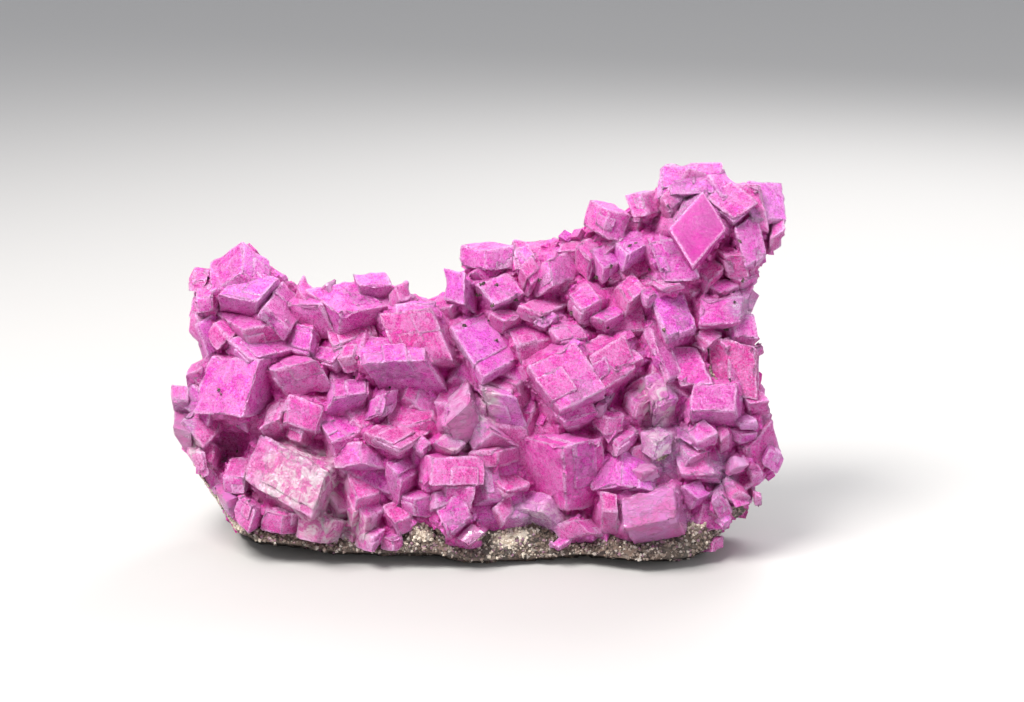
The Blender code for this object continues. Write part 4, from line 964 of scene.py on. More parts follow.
def crystal_surface(nearest, edges, relief, step, seed, colour):
    """A crystal's worn, stepped surface: its points, quads, nearness to an edge and colours."""
    edges = np.array(edges)
    lengths = np.linalg.norm(edges, axis=1)
    lines = [lattice_lines(length, step) for length in lengths]
    quads = lattice_faces([len(line) - 1 for line in lines])
    if np.linalg.det(edges) < 0.0:
        quads = quads[:, ::-1]
    codes, quads = np.unique(quads, return_inverse=True)
    quads = quads.reshape(-1, 4)
    indices = (codes // CODE_BASE ** 2, codes // CODE_BASE % CODE_BASE, codes % CODE_BASE)
    share = np.stack([line[index] for line, index in zip(lines, indices)], axis=1)
    points = nearest + share @ edges
    depth = np.minimum(share, 1.0 - share) * lengths
    outs = np.sign(share - 0.5)[:, :, None] * block_normals(edges)[None]
    close = np.exp(-depth / BEVEL_WIDTH)
    bevel = np.zeros_like(points)
    for a, b in ((0, 1), (1, 2), (0, 2)):
        bevel -= (BEVEL * close[:, a] * close[:, b])[:, None] * (outs[:, a] + outs[:, b])
    ordered = np.sort(depth, axis=1)
    rim = np.exp(-((ordered[:, 1] / RIM_WIDTH) ** 2))
    steps = stepped(points, STEP_SCALE, seed) - 0.5
    rough = 0.6 - np.abs(2.0 * field(points, ROUGH_SCALE, seed + 7) - 1.0)
    swell = field(points, SWELL_SCALE, seed + 3) - 0.5
    chip = np.clip(field(points, CHIP_SCALE, seed + 13) - CHIP_START, 0.0, 1.0)
    chip = chip * np.exp(-ordered[:, 1] / CHIP_WIDTH)
    height = STEP_HEIGHT * steps + ROUGH_HEIGHT * rough + SWELL_HEIGHT * swell - CHIP_DEPTH * chip
    height = relief * height
    on_face = depth < 1e-9
    points = points + bevel + height[:, None] * (on_face[:, :, None] * outs).sum(axis=1)
    gains = np.random.default_rng(seed).uniform(*FACE_GAINS, (3, 2))
    gains = gains[np.arange(3)[None], (share > 0.5).astype(int)]
    gain = (on_face * gains).sum(axis=1) / on_face.sum(axis=1)
    colours = np.array(colour)[None] * np.stack([gain ** power for power in GAIN_POWERS], axis=1)
    return points, quads, rim, np.clip(colours, 0.0, BRIGHTEST)


def turned(vector, axis, angle):
    """A vector turned about an axis by a small angle."""
    return vector * math.cos(angle) + np.cross(axis, vector) * math.sin(angle)


def scattered(size, rng):
    """A small step in any direction."""
    return np.array([rng.gauss(0.0, size) for _ in range(3)])


def growth_plates(nearest, edges, count, rng):
    """Parallel growths: smaller copies of a crystal that step over its front edges."""
    plates = []
    for _ in range(count):
        share = [rng.uniform(*PLATE_SHARES) for _ in range(3)]
        corner = nearest.copy()
        for edge in edges:
            corner = corner + rng.choice(PLATE_STEPS) * unit(edge)
        axis = rng.randrange(3)
        corner = corner + rng.uniform(0.15, 1.0 - share[axis]) * edges[axis]
        spin = unit(scattered(1.0, rng))
        angle = rng.gauss(0.0, PLATE_TURN)
        plates.append((corner, [turned(part * edge, spin, angle) for part, edge in zip(share, edges)]))
    return plates


def add_tints(mesh, tints):
    """A colour on every corner of a mesh, with nearness to an edge as its fourth number."""
    layer = mesh.attributes.new("tint", "FLOAT_COLOR", "CORNER")
    layer.data.foreach_set("color", np.asarray(tints, np.float32).ravel())


def tint_points(mesh, colours, rims):
    """The same from a colour and a nearness to an edge for every point."""
    tints = np.ones((len(colours), 4), np.float32)
    tints[:, :3] = colours
    tints[:, 3] = rims
    corners = np.empty(len(mesh.loops), np.int64)
    mesh.loops.foreach_get("vertex_index", corners)
    add_tints(mesh, tints[corners])


def varied(tone, rng):
    """A tone's colour with a little chance in it."""
    base = linear(TONES[tone])
    lighter = 1.0 + rng.uniform(-TONE_SPREAD, TONE_SPREAD)
    shift = rng.uniform(-HUE_SPREAD, HUE_SPREAD)
    colour = (base[0] * lighter, base[1] * lighter * (1.0 + 4.0 * shift), base[2] * lighter * (1.0 - shift))
    return tuple(min(BRIGHTEST, max(DARKEST, part)) for part in colour)


def crystal_surfaces(nearest, edges, tone, plates, relief, rng):
    """A crystal with its growth plates: the points, quads, edge nearness and colour of each."""
    colour = varied(tone, rng)
    seed = rng.randrange(1, 9000)
    made = [crystal_surface(nearest, edges, relief, GRID_STEP, seed, colour)]
    for corner, parts in growth_plates(nearest, edges, plates, rng):
        tint = tuple(min(BRIGHTEST, part * rng.uniform(*PLATE_GAINS)) for part in colour)
        made.append(crystal_surface(corner, parts, PLATE_RELIEF * relief, PLATE_GRID * GRID_STEP, seed, tint))
    return made


def new_object(name, mesh, collection):
    """An object in a collection."""
    item = bpy.data.objects.new(name, mesh)
    collection.objects.link(item)
    return item


def applied(item):
    """Replaces an object's mesh by the result of its modifiers."""
    graph = bpy.context.evaluated_depsgraph_get()
    result = bpy.data.meshes.new_from_object(item.evaluated_get(graph))
    item.modifiers.clear()
    item.data = result


def cut_flat(mesh, point, normal):
    """Cuts everything behind a plane off a mesh of closed bodies and closes each cut."""
    shape = bmesh.new()
    shape.from_mesh(mesh)
    point = Vector(point)
    normal = Vector(normal)
    low = [vertex for vertex in shape.verts if (vertex.co - point).dot(normal) < 0.0]
    if low:
        geometry = list(shape.verts) + list(shape.edges) + list(shape.faces)
        bmesh.ops.bisect_plane(shape, geom=geometry, plane_co=point, plane_no=normal, clear_inner=True)
        bmesh.ops.holes_fill(shape, edges=[edge for edge in shape.edges if edge.is_boundary], sides=0)
        shape.to_mesh(mesh)
    shape.free()


def cut_foot(mesh):
    """Cuts the crystals off along the line where the rock begins."""
    cut_flat(mesh, (0.0, 0.0, PINK_FOOT), (0.0, 0.0, 1.0))
    eye = eye_point()
    for (left_u, left_v), (right_u, right_v) in FOOT_CUTS:
        start = chart_point(left_u, left_v)
        normal = unit(np.cross(chart_point(right_u, right_v) - start, eye - start))
        cut_flat(mesh, start, -normal if normal[2] < 0.0 else normal)


def coordinates(mesh):
    """The places of a mesh's vertices as an array."""
    places = np.empty(len(mesh.vertices) * 3, np.float64)
    mesh.vertices.foreach_get("co", places)
    return places.reshape(-1, 3)


def set_coordinates(mesh, places):
    """Moves a mesh's vertices."""
    mesh.vertices.foreach_set("co", places.ravel())
    mesh.update()


def sampled(table, u, v):
    """A field of the chart at many places."""
    us, vs, values = table
    i = np.clip((u - us[0]) / (us[1] - us[0]), 0.0, len(us) - 1.001)
    j = np.clip((v - vs[0]) / (vs[1] - vs[0]), 0.0, len(vs) - 1.001)
    low_i = i.astype(int)
    low_j = j.astype(int)
    part_i = i - low_i
    part_j = j - low_j
    front = values[low_i, low_j] * (1.0 - part_j) + values[low_i, low_j + 1] * part_j
    behind = values[low_i + 1, low_j] * (1.0 - part_j) + values[low_i + 1, low_j + 1] * part_j
    return front * (1.0 - part_i) + behind * part_i


def chart_table(step, rule):
    """A field of the chart from a rule for each point."""
    us = np.arange(*CHART_U, step)
    vs = np.arange(*CHART_V, step)
    return us, vs, np.array([[rule(u, v) for v in vs] for u in us])


def block_tree(blocks):
    """A search tree of the crystals as plain blocks."""
    points = []
    faces = []
    for nearest, edges, *_ in blocks:
        start = len(points)
        points += [tuple(corner) for corner in block_corners(np.array(nearest), edges)]
        faces += [tuple(index + start for index in face) for face in BLOCK_FACES]
    return BVHTree.FromPolygons(points, faces)


def seen_lifts(blocks):
    """The lift of the nearest crystal on the line of sight through each cell, low where none is met."""
    tree = block_tree(blocks)
    eye = Vector(eye_point())
    across, up_lean, _ = axes()
    base = chart_point(0.0, 0.0)

    def rule(u, v):
        ray = Vector(base + u * across + v * up_lean) - eye
        hit = tree.ray_cast(eye, ray.normalized())[0]
        return NOTHING if hit is None else chart_places(np.array([hit]))[2][0]

    return chart_table(CELL, rule)


def neighbours(values):
    """The sum of the four values beside each."""
    padded = np.pad(values, 1, mode="edge")
    return padded[:-2, 1:-1] + padded[2:, 1:-1] + padded[1:-1, :-2] + padded[1:-1, 2:]


def blurred(values, passes):
    """Values smoothed with their neighbours a number of times."""
    for _ in range(passes):
        values = 0.2 * (neighbours(values) + values)
    return values


def skirted(lifts, slope):
    """Lifts with a steep slope running down from every step."""
    result = lifts.copy()
    for _ in range(SKIRT_PASSES):
        padded = np.pad(result, 1, mode="edge")
        for du in range(3):
            for dv in range(3):
                drop = slope * CELL * math.hypot(du - 1, dv - 1)
                shifted = padded[du:du + result.shape[0], dv:dv + result.shape[1]]
                result = np.maximum(result, shifted - drop)
    return result


def skin_tables(blocks):
    """The fused surface, stretched from outline to outline, the smoothed front and where crystals are."""
    us, vs, lifts = seen_lifts(blocks)
    level = chart_table(1.0, crust_lift)
    grid_u, grid_v = np.meshgrid(us, vs, indexing="ij")
    base = sampled(level, grid_u, grid_v)
    within = np.array([[inside(u, v, CRUST_EDGE) for v in vs] for u in us])
    covered = (lifts > NOTHING + 1.0) & within
    held = covered | ~within
    skin = np.where(covered, lifts, base - np.where(within, 0.0, BORDER_DIP))
    for _ in range(STRETCHING):
        skin = np.where(held, skin, 0.25 * neighbours(skin))
    far = np.clip(1.0 - blurred(covered.astype(float), FAR_SMOOTHING) * 2.0, 0.0, 1.0)
    pits = np.zeros_like(skin)
    for pit_u, pit_v, radius, depth in HOLLOWS:
        away = (grid_u - pit_u) ** 2 + (grid_v - pit_v) ** 2
        pits += depth * np.exp(-away / (2.0 * (HOLLOW_SLOPE * radius) ** 2))
    fill = np.maximum(skin - SKIN_DROP - FAR_DROP * far - PIT_DROP * pits, base - DEEPEST_SKIN)
    whole = np.where(covered, lifts, fill)
    skirt = skirted(np.where(within, whole, base - OUTSIDE_DROP), SKIRT_SLOPE)
    skirt = skirt - SKIRT_DROP - SKIRT_PIT_DROP * pits
    bed = np.where(skirt > whole, skirt, np.where(covered, lifts - UNDER_CRYSTALS, fill))
    bed = np.where(within, np.maximum(bed, base - DEEPEST_BED), bed)
    shown = seen_lifts([block for block in blocks if block[2] in ("glassy", "clear")])[2]
    bed = np.where(shown > NOTHING + 1.0, np.minimum(bed, shown - UNDER_GLASS), bed)
    return (us, vs, bed), (us, vs, blurred(whole, SMOOTHING)), (us, vs, covered.astype(float))


def chart_places(points):
    """u, v and lift of many points."""
    across, up_lean, outward = axes()
    eye = eye_point()
    rays = points - eye
    depth = -(rays @ outward)
    hits = eye + rays * (EYE_DISTANCE / depth)[:, None] - np.array((0.0, FRONT_Y, 0.0))
    return hits @ across, hits @ up_lean, EYE_DISTANCE - depth


def buried(points, smooth):
    """How deep each point lies below what surrounds it, from 0 to 1."""
    u, v, lift = chart_places(points)
    below = (sampled(smooth, u, v) - lift - 0.3) / 1.8
    below = np.where(lift < -4.0, 0.15, below)
    return np.clip(below, 0.0, 1.0)


def add_point_layer(mesh, name, values):
    """A number on every vertex that a material can read."""
    layer = mesh.attributes.new(name, "FLOAT", "POINT")
    layer.data.foreach_set("value", np.asarray(values, np.float32))


def into_box(item):
    """Keeps a body inside the CAD box and writes it in metres."""
    places = coordinates(item.data) * MM
    low = np.array(CAD_BOX[0]) + BOX_MARGIN
    high = np.array(CAD_BOX[1]) - BOX_MARGIN
    set_coordinates(item.data, np.clip(places, low, high))


def fine_loop(loop, step, rng):
    """A loop with more points, a little ragged."""
    points = []
    for (au, av), (bu, bv) in zip(loop, loop[1:] + loop[:1]):
        count = max(1, round(math.hypot(bu - au, bv - av) / step))
        for index in range(count):
            part = index / count
            wobble = 0.0 if index == 0 else LOOP_JITTER
            u = au + part * (bu - au) + rng.uniform(-wobble, wobble)
            v = av + part * (bv - av) + rng.uniform(-wobble, wobble)
            points.append((u, v))
    return points


def widened(loop):
    """The crust's edge moved out towards the specimen's limits."""
    moved = []
    for index, (u, v) in enumerate(loop):
        out_u, out_v = outward_of(loop, index)
        for step in (1.0, 0.7, 0.4, 0.0):
            spot = (u + step * out_u, v + step * out_v)
            if inside(*spot, LIMITS) and distance_to(*spot, LIMITS) > 0.25:
                break
        moved.append(spot if v > 3.0 else (u, v))
    return moved


def tone_mix(u, v):
    """The colour of the fused surface: that of the crystals around each point, a little deeper."""
    total = np.zeros((len(u), 3))
    weights = np.full(len(u), 1e-6)
    for row in CRYSTALS + SMALL:
        middle_u = (row[2] + row[4] + row[6]) / 3.0
        middle_v = (row[3] + row[5] + row[7]) / 3.0
        tone = "pink" if row[TONE] in (*UNLIKE_THE_REST, "hero") else row[TONE]
        weight = np.exp(-((u - middle_u) ** 2 + (v - middle_v) ** 2) / 3.2)
        total += weight[:, None] * np.array(linear(TONES[tone]))
        weights += weight
    total += 0.15 * np.array(linear(TONES["bed"]))
    weights += 0.15
    return total / weights[:, None]


def bed_mesh(bed, rng):
    """The fused mass that the crystals grow out of, finely ridged."""
    edge = widened(list(CRUST_EDGE))
    loop = fine_loop(edge, LOOP_STEP, rng)
    points = list(loop)
    for u in np.arange(-33.5, 33.5, SKIN_STEP):
        for v in np.arange(-3.0, 43.0, SKIN_STEP):
            spot = (u + rng.uniform(-SKIN_JITTER, SKIN_JITTER), v + rng.uniform(-SKIN_JITTER, SKIN_JITTER))
            if inside(*spot, edge) and distance_to(*spot, edge) > 0.3:
                points.append(spot)
    count = len(loop)
    faces = sheet_triangles(points, count)
    u, v = np.array(points).T
    fronts = sampled(bed, u, v)
    places = np.stack((u, v, fronts), axis=1)
    ridged = 1.0 - 2.0 * np.abs(field(places, 0.75, 31) - 0.5)
    fine = 1.0 - 2.0 * np.abs(field(places, 1.7, 32) - 0.5)
    blocky = stepped(places, 0.5, 33)
    fronts = fronts + RIDGE_HEIGHT * (ridged - 0.7) + FINE_HEIGHT * (fine - 0.6)
    fronts = fronts + BLOCK_HEIGHT * (blocky - 0.5)
    foot = np.array([foot_height(value) for value in u])
    under = np.clip((foot + 0.4 - v) / 0.7, 0.0, 1.0)
    level = np.array([crust_lift(*spot) for spot in zip(u, v)])
    fronts = fronts + under * (np.minimum(fronts, level - 0.8) - fronts)
    fronts[:count] = [border_lift(*point) for point in loop]
    backs = [min(front - 1.0, -CRUST_RIM_DEPTH) for front in fronts]
    mesh = slab("crystal_bed", points, count, faces, fronts, backs)
    tint_points(mesh, np.tile(tone_mix(u, v), (2, 1)), 0.0)
    return mesh


def bare_front(u, v):
    """The rock's front: under the crust above the foot line, and just in front of its plate below."""
    rise = min(1.0, max(0.0, (v - foot_height(u)) / FOOT_RISE))
    share = rise * rise * (3.0 - 2.0 * rise)
    return crust_lift(u, v) + CRUST_OVERLAP - (CRUST_THICKNESS + CRUST_OVERLAP) * share


def rock_mesh(rng):
    """The rock in large facets."""
    loop = list(ROCK_EDGE)
    count = len(loop)
    points = sheet_points(loop, rng)
    faces = sheet_triangles(points, count)
    rough = [rng.uniform(-ROCK_ROUGHNESS, ROCK_ROUGHNESS) for _ in points]
    fronts = [bare_front(u, v) + FRONT_ROUGHNESS * bump for (u, v), bump in zip(points, rough)]
    for index, (u, v) in enumerate(loop):
        front = bare_front(u, v)
        at_foot = v < 3.4 and abs(u) < 26.0
        fronts[index] = front - FOOT_BEHIND if at_foot else min(front, border_lift(u, v) + FOOT_BEHIND)
    backs = [rock_back(u, v) + BACK_ROUGHNESS * bump for (u, v), bump in zip(points, reversed(rough))]
    backs[:count] = [rock_back(u, v) for u, v in loop]
    backs = [min(back, front - THINNEST_ROCK) for back, front in zip(backs, fronts)]
    return slab("rock", points, count, faces, fronts, backs)


def joined(name, parts, home):
    """Many small meshes, given as points and faces, as one object."""
    points = []
    faces = []
    tints = []
    offset = 0
    for places, polygons, colour in parts:
        points.extend(tuple(spot) for spot in places)
        faces.extend([index + offset for index in polygon] for polygon in polygons)
        tints.extend([tuple(colour) + (0.0,)] * sum(len(polygon) for polygon in polygons))
        offset += len(places)
    mesh = bpy.data.meshes.new(name)
    mesh.from_pydata(points, [], faces)
    add_tints(mesh, tints)
    return new_object(name, mesh, home)


def small_rhomb(spot, axis, size, rng):
    """The corners of a small rhombohedron that stands on a spot."""
    edges = rhomb_edges(axis, np.array((0.31, 0.52, 0.79)), size, DRUSE_EDGE_SHARES, rng)
    return block_corners(spot + 0.5 * size * axis, edges)


def surface_samples(mesh, count, seed):
    """Points spread over a mesh by area, with their normals."""
    mesh.calc_loop_triangles()
    triangles = np.empty(len(mesh.loop_triangles) * 3, np.int64)
    mesh.loop_triangles.foreach_get("vertices", triangles)
    triangles = triangles.reshape(-1, 3)
    places = coordinates(mesh)
    a, b, c = (places[triangles[:, k]] for k in range(3))
    normals = np.cross(b - a, c - a)
    areas = np.linalg.norm(normals, axis=1)
    chance = np.random.default_rng(seed)
    chosen = chance.choice(len(triangles), count, p=areas / areas.sum())
    first = np.sqrt(chance.random(count))[:, None]
    second = chance.random(count)[:, None]
    spots = (1.0 - first) * a[chosen] + first * (1.0 - second) * b[chosen] + first * second * c[chosen]
    return spots, normals[chosen] / areas[chosen][:, None]


def druse(crust, smooth, rng, home):
    """Small crystals in the gaps between the large ones and round the crust's edge."""
    spots, normals = surface_samples(crust.data, *DRUSE_SPOTS)
    depth = buried(spots, smooth)
    u, v, lift = chart_places(spots)
    bare = window_share(u, v)
    parts = []
    for index in range(len(spots)):
        behind = lift[index] < -3.0
        if not behind and bare[index] > 0.2:
            continue
        if v[index] < foot_height(u[index]) + 0.6 and not behind:
            continue
        if rng.random() > (0.5 if behind else 0.3 + 0.4 * depth[index]):
            continue
        axis = unit(normals[index] + scattered(0.4, rng))
        size = rng.uniform(*DRUSE_SIZES) * (1.7 if rng.random() < 0.15 else 1.0)
        corners = small_rhomb(spots[index] - 0.3 * size * axis, axis, size, rng)
        parts.append((corners, BLOCK_FACES, varied(near_tone(u[index], v[index], rng), rng)))
    return joined("small_crystals", parts, home)


def outward_faces(item):
    """Turns every part of a mesh so that its faces look outward."""
    shape = bmesh.new()
    shape.from_mesh(item.data)
    bmesh.ops.recalc_face_normals(shape, faces=shape.faces)
    shape.to_mesh(item.data)
    shape.free()


def grain(spot, size, rng):
    """The corners of an irregular eight-sided grain."""
    spin = unit(scattered(1.0, rng))
    points = []
    for axis in range(3):
        for sign in (-1.0, 1.0):
            arm = np.zeros(3)
            arm[axis] = sign * size * rng.uniform(0.6, 1.2)
            points.append(spot + turned(arm, spin, 0.6))
    return points


def first_hit(trees, u, v):
    """Where the line of sight through a chart point first meets a crystal."""
    eye = eye_point()
    ray = chart_point(u, v) - eye
    hits = [tree.ray_cast(Vector(eye), Vector(ray / np.linalg.norm(ray))) for tree in trees]
    hits = [hit for hit in hits if hit[0] is not None]
    return min(hits, key=lambda hit: hit[3])[0] if hits else None


def speck_parts(crystals, rng):
    """Dark grains sitting on the crystals."""
    graph = bpy.context.evaluated_depsgraph_get()
    trees = [BVHTree.FromObject(item, graph) for item in crystals]
    parts = []
    for u, v in SPECKS:
        hit = first_hit(trees, u, v)
        if hit is None:
            continue
        for _ in range(SPECKS_TOGETHER):
            shift = np.array([rng.uniform(-SPECK_JITTER, SPECK_JITTER) for _ in range(3)])
            corners = grain(np.array(hit) + shift, rng.uniform(*SPECK_SIZES), rng)
            parts.append((corners, GRAIN_FACES, SPECK_COLOUR))
    return parts


def squared_away(u, v, zone):
    """The square of how far places on the chart are from a zone's middle, in its own widths and heights."""
    middle_u, middle_v, wide, high = zone
    return ((u - middle_u) / wide) ** 2 + ((v - middle_v) / high) ** 2


def within_zones(u, v, zones, reach, fade):
    """How much places on the chart belong to some zones."""
    share = np.zeros(len(u))
    for zone in zones:
        share = np.maximum(share, np.clip((reach - np.sqrt(squared_away(u, v, zone))) / fade, 0.0, 1.0))
    return share


def window_share(u, v):
    """How much of the rock shows through at places on the chart."""
    return within_zones(u, v, WINDOWS, 1.15, 0.3)


def zone_share(points, zones, seed):
    """How much each point belongs to some ragged zones of the front."""
    u, v, lift = chart_places(points)
    share = within_zones(u, v, zones, 1.3, 0.6)
    ragged = 0.9 * (field(points, 0.5, seed) - 0.5) + 0.5 * (field(points, 1.4, seed + 1) - 0.5)
    return np.clip(share + ragged, 0.0, 1.0) * (share > 0.02) * (lift > -7.0)


def bare_rock(points):
    """How much of the rock shows through at points of the front."""
    u, v, lift = chart_places(points)
    share = window_share(u, v)
    ragged = 0.7 * (field(points, 0.8, 71) - 0.5)
    return np.clip(share + ragged, 0.0, 1.0) * (share > 0.05) * (lift > -6.0)


def cream_share(points):
    """How pale each point of the rock is, from its place on the chart."""
    u, v, _ = chart_places(points)
    share = np.zeros(len(points))
    for zone in CREAM:
        share = np.maximum(share, np.exp(-squared_away(u, v, zone)))
    behind = np.clip((field(points, 0.24, 91) - 0.55) * 4.0, 0.0, 1.0)
    share = np.maximum(share, 0.7 * behind * (points[:, 1] > -6.0))
    return np.clip(share + 0.5 * (field(points, 0.9, 92) - 0.5), 0.0, 1.0)


def weathered_rock(rng, home):
    """The rock with a broken, granular surface and a flat underside."""
    rock = new_object("rock", rock_mesh(rng), home)
    cut_flat(rock.data, (0.0, 0.0, 0.0), (0.0, 0.0, 1.0))
    remesh = rock.modifiers.new("fine", "REMESH")
    remesh.mode = "VOXEL"
    remesh.voxel_size = VOXEL
    applied(rock)
    places = coordinates(rock.data)
    normals = np.empty(len(places) * 3, np.float64)
    rock.data.vertices.foreach_get("normal", normals)
    normals = normals.reshape(-1, 3)
    height = 0.9 * (stepped(places, 0.22, 61) - 1.0) + 0.7 * (field(places, 0.55, 62) - 1.0)
    height = height + 0.45 * (field(places, 1.6, 63) - 1.0)
    front = np.clip((places[:, 1] + 8.0) / 6.0, 0.25, 1.0)
    low = np.clip(places[:, 2] / 5.0, 0.15, 1.0)
    height = height * front * low
    height = np.where(places[:, 2] < RESTING, 0.0, height)
    places = places + height[:, None] * normals
    places[:, 2] = np.where(places[:, 2] < RESTING, 0.0, np.maximum(places[:, 2], 0.0))
    set_coordinates(rock.data, places)
    add_point_layer(rock.data, "cream", cream_share(places))
    return rock


def grain_parts(spots, sizes, rng):
    """Grains at many spots, cream where the rock is pale."""
    parts = []
    for spot, share in zip(spots, cream_share(spots)):
        colour = CREAM_GRAIN if rng.random() < share else rng.choice(GRAIN_COLOURS)
        parts.append((grain(spot, rng.uniform(*sizes), rng), GRAIN_FACES, colour))
    return parts


def rock_grains(rock, bed, rng, home):
    """Grains that stand out of the rock, more of them where it shows at the foot."""
    spots, normals = surface_samples(rock.data, *ROCK_SPOTS)
    low = (spots[:, 2] > 0.2) & (normals[:, 2] > -0.7)
    front = low & (spots[:, 1] < -9.0) & (spots[:, 2] < 5.0)
    back = low & ~front & (np.arange(len(spots)) % BACK_GRAINS_KEPT == 0)
    parts = grain_parts(spots[front], ROCK_GRAIN_SIZES, rng)
    parts += grain_parts(spots[back], BACK_GRAIN_SIZES, rng)
    spots, normals = surface_samples(bed.data, *BED_SPOTS)
    shown = (bare_rock(spots) > 0.45) & (normals[:, 1] < -0.1)
    parts += grain_parts(spots[shown], BED_GRAIN_SIZES, rng)
    return joined("rock_grains", parts, home)


class Shader:
    """A material's node tree, with short calls to build it."""

    def __init__(self, name):
        self.material = bpy.data.materials.new(name)
        self.material.use_nodes = True
        self.tree = self.material.node_tree
        self.surface = self.tree.nodes["Principled BSDF"]

    def node(self, kind, inputs=(), **values):
        """A node with its properties and its inputs set."""
        made = self.tree.nodes.new(kind)
        for key, value in values.items():
            setattr(made, key, value)
        for name, value in inputs:
            self.put(made, name, value)
        return made

    def put(self, node, name, value):
        """Links an input to an output, or sets it to a number."""
        if isinstance(value, bpy.types.NodeSocket):
            self.tree.links.new(value, node.inputs[name])
        else:
            node.inputs[name].default_value = value

    def finish(self, **values):
        """The material, once the surface's inputs are set. Their names have _ for a space."""
        for name, value in values.items():
            self.put(self.surface, name.replace("_", " "), value)
        return self.material

    def place(self, scale):
        """Object coordinates, in millimetres, stretched by a scale."""
        source = self.node("ShaderNodeTexCoord").outputs["Object"]
        stretch = (("Scale", [part / MM for part in scale]), ("Vector", source))
        return self.node("ShaderNodeMapping", stretch).outputs["Vector"]

    def noise(self, scale, detail=4.0, roughness=0.6, distortion=0.0, stretch=(1.0, 1.0, 1.0)):
        """Noise with a scale in cycles per millimetre."""
        inputs = (("Vector", self.place(stretch)), ("Scale", scale), ("Detail", detail))
        inputs += (("Roughness", roughness), ("Distortion", distortion))
        return self.node("ShaderNodeTexNoise", inputs).outputs["Fac"]

    def threads(self, scale, width, stretch=(1.0, 1.0, 1.0), distortion=1.2):
        """A web of thin threads with a scale in cycles per millimetre."""
        raw = self.noise(scale, detail=4.0, roughness=0.62, distortion=distortion, stretch=stretch)
        away = self.node("ShaderNodeMath", ((0, raw), (1, 0.5)), operation="SUBTRACT").outputs["Value"]
        size = self.node("ShaderNodeMath", ((0, away),), operation="ABSOLUTE").outputs["Value"]
        return self.ramp(size, 0.0, width, 1.0, 0.0)

    def cells(self, scale):
        """The distance and colour of cells with a scale in cells per millimetre."""
        inputs = (("Vector", self.place((1.0, 1.0, 1.0))), ("Scale", scale))
        made = self.node("ShaderNodeTexVoronoi", inputs, feature="F1")
        parts = self.node("ShaderNodeSeparateColor", (("Color", made.outputs["Color"]),))
        return made.outputs["Distance"], parts.outputs

    def ramp(self, value, low, high, to_low=0.0, to_high=1.0):
        """A value's range mapped to another."""
        inputs = (("Value", value), ("From Min", low), ("From Max", high))
        inputs += (("To Min", to_low), ("To Max", to_high))
        return self.node("ShaderNodeMapRange", inputs, interpolation_type="SMOOTHSTEP").outputs["Result"]

    def math(self, operation, first, second):
        """One step of arithmetic, kept between 0 and 1."""
        inputs = ((0, first), (1, second))
        return self.node("ShaderNodeMath", inputs, operation=operation, use_clamp=True).outputs["Value"]

    def times(self, first, *others):
        """A product."""
        for other in others:
            first = self.math("MULTIPLY", first, other)
        return first

    def plus(self, first, *others):
        """A sum."""
        for other in others:
            first = self.math("ADD", first, other)
        return first

    def without(self, share):
        """What is left of 1."""
        return self.math("SUBTRACT", 1.0, share)

    def mix(self, share, first, second, blend="MIX"):
        """Two colours mixed."""
        made = self.node("ShaderNodeMix", ((0, share),), data_type="RGBA", blend_type=blend)
        for index, value in ((6, first), (7, second)):
            self.put(made, index, value if isinstance(value, bpy.types.NodeSocket) else tuple(value) + (1.0,))
        return made.outputs[2]

    def layer(self, name, part="Fac"):
        """A number or colour that the mesh carries."""
        return self.node("ShaderNodeAttribute", attribute_name=name).outputs[part]

    def rock_colour(self):
        """Brown-grey grains with cream patches."""
        _, tone = self.cells(2.6)
        broad = self.noise(0.25, detail=4.0)
        fine = self.noise(2.4, detail=5.0, roughness=0.75)
        brown = self.mix(self.ramp(tone["Red"], 0.0, 1.0), colour_of("rock_dark"), colour_of("rock_brown"))
        grey = self.mix(self.ramp(broad, 0.4, 0.62), brown, colour_of("rock_grey"))
        grey = self.mix(self.times(self.ramp(fine, 0.6, 0.72), 0.4), grey, colour_of("rock_pale"))
        pale = self.mix(self.ramp(tone["Green"], 0.0, 1.0), colour_of("cream_dull"), colour_of("cream_light"))
        share = self.ramp(self.plus(self.layer("cream"), self.times(fine, 0.4)), 0.5, 1.05)
        return self.mix(share, grey, pale)

    def bump(self, height, distance):
        """A bump, its depth in millimetres."""
        inputs = (("Strength", 1.0), ("Distance", distance * MM), ("Height", height))
        return self.node("ShaderNodeBump", inputs).outputs["Normal"]


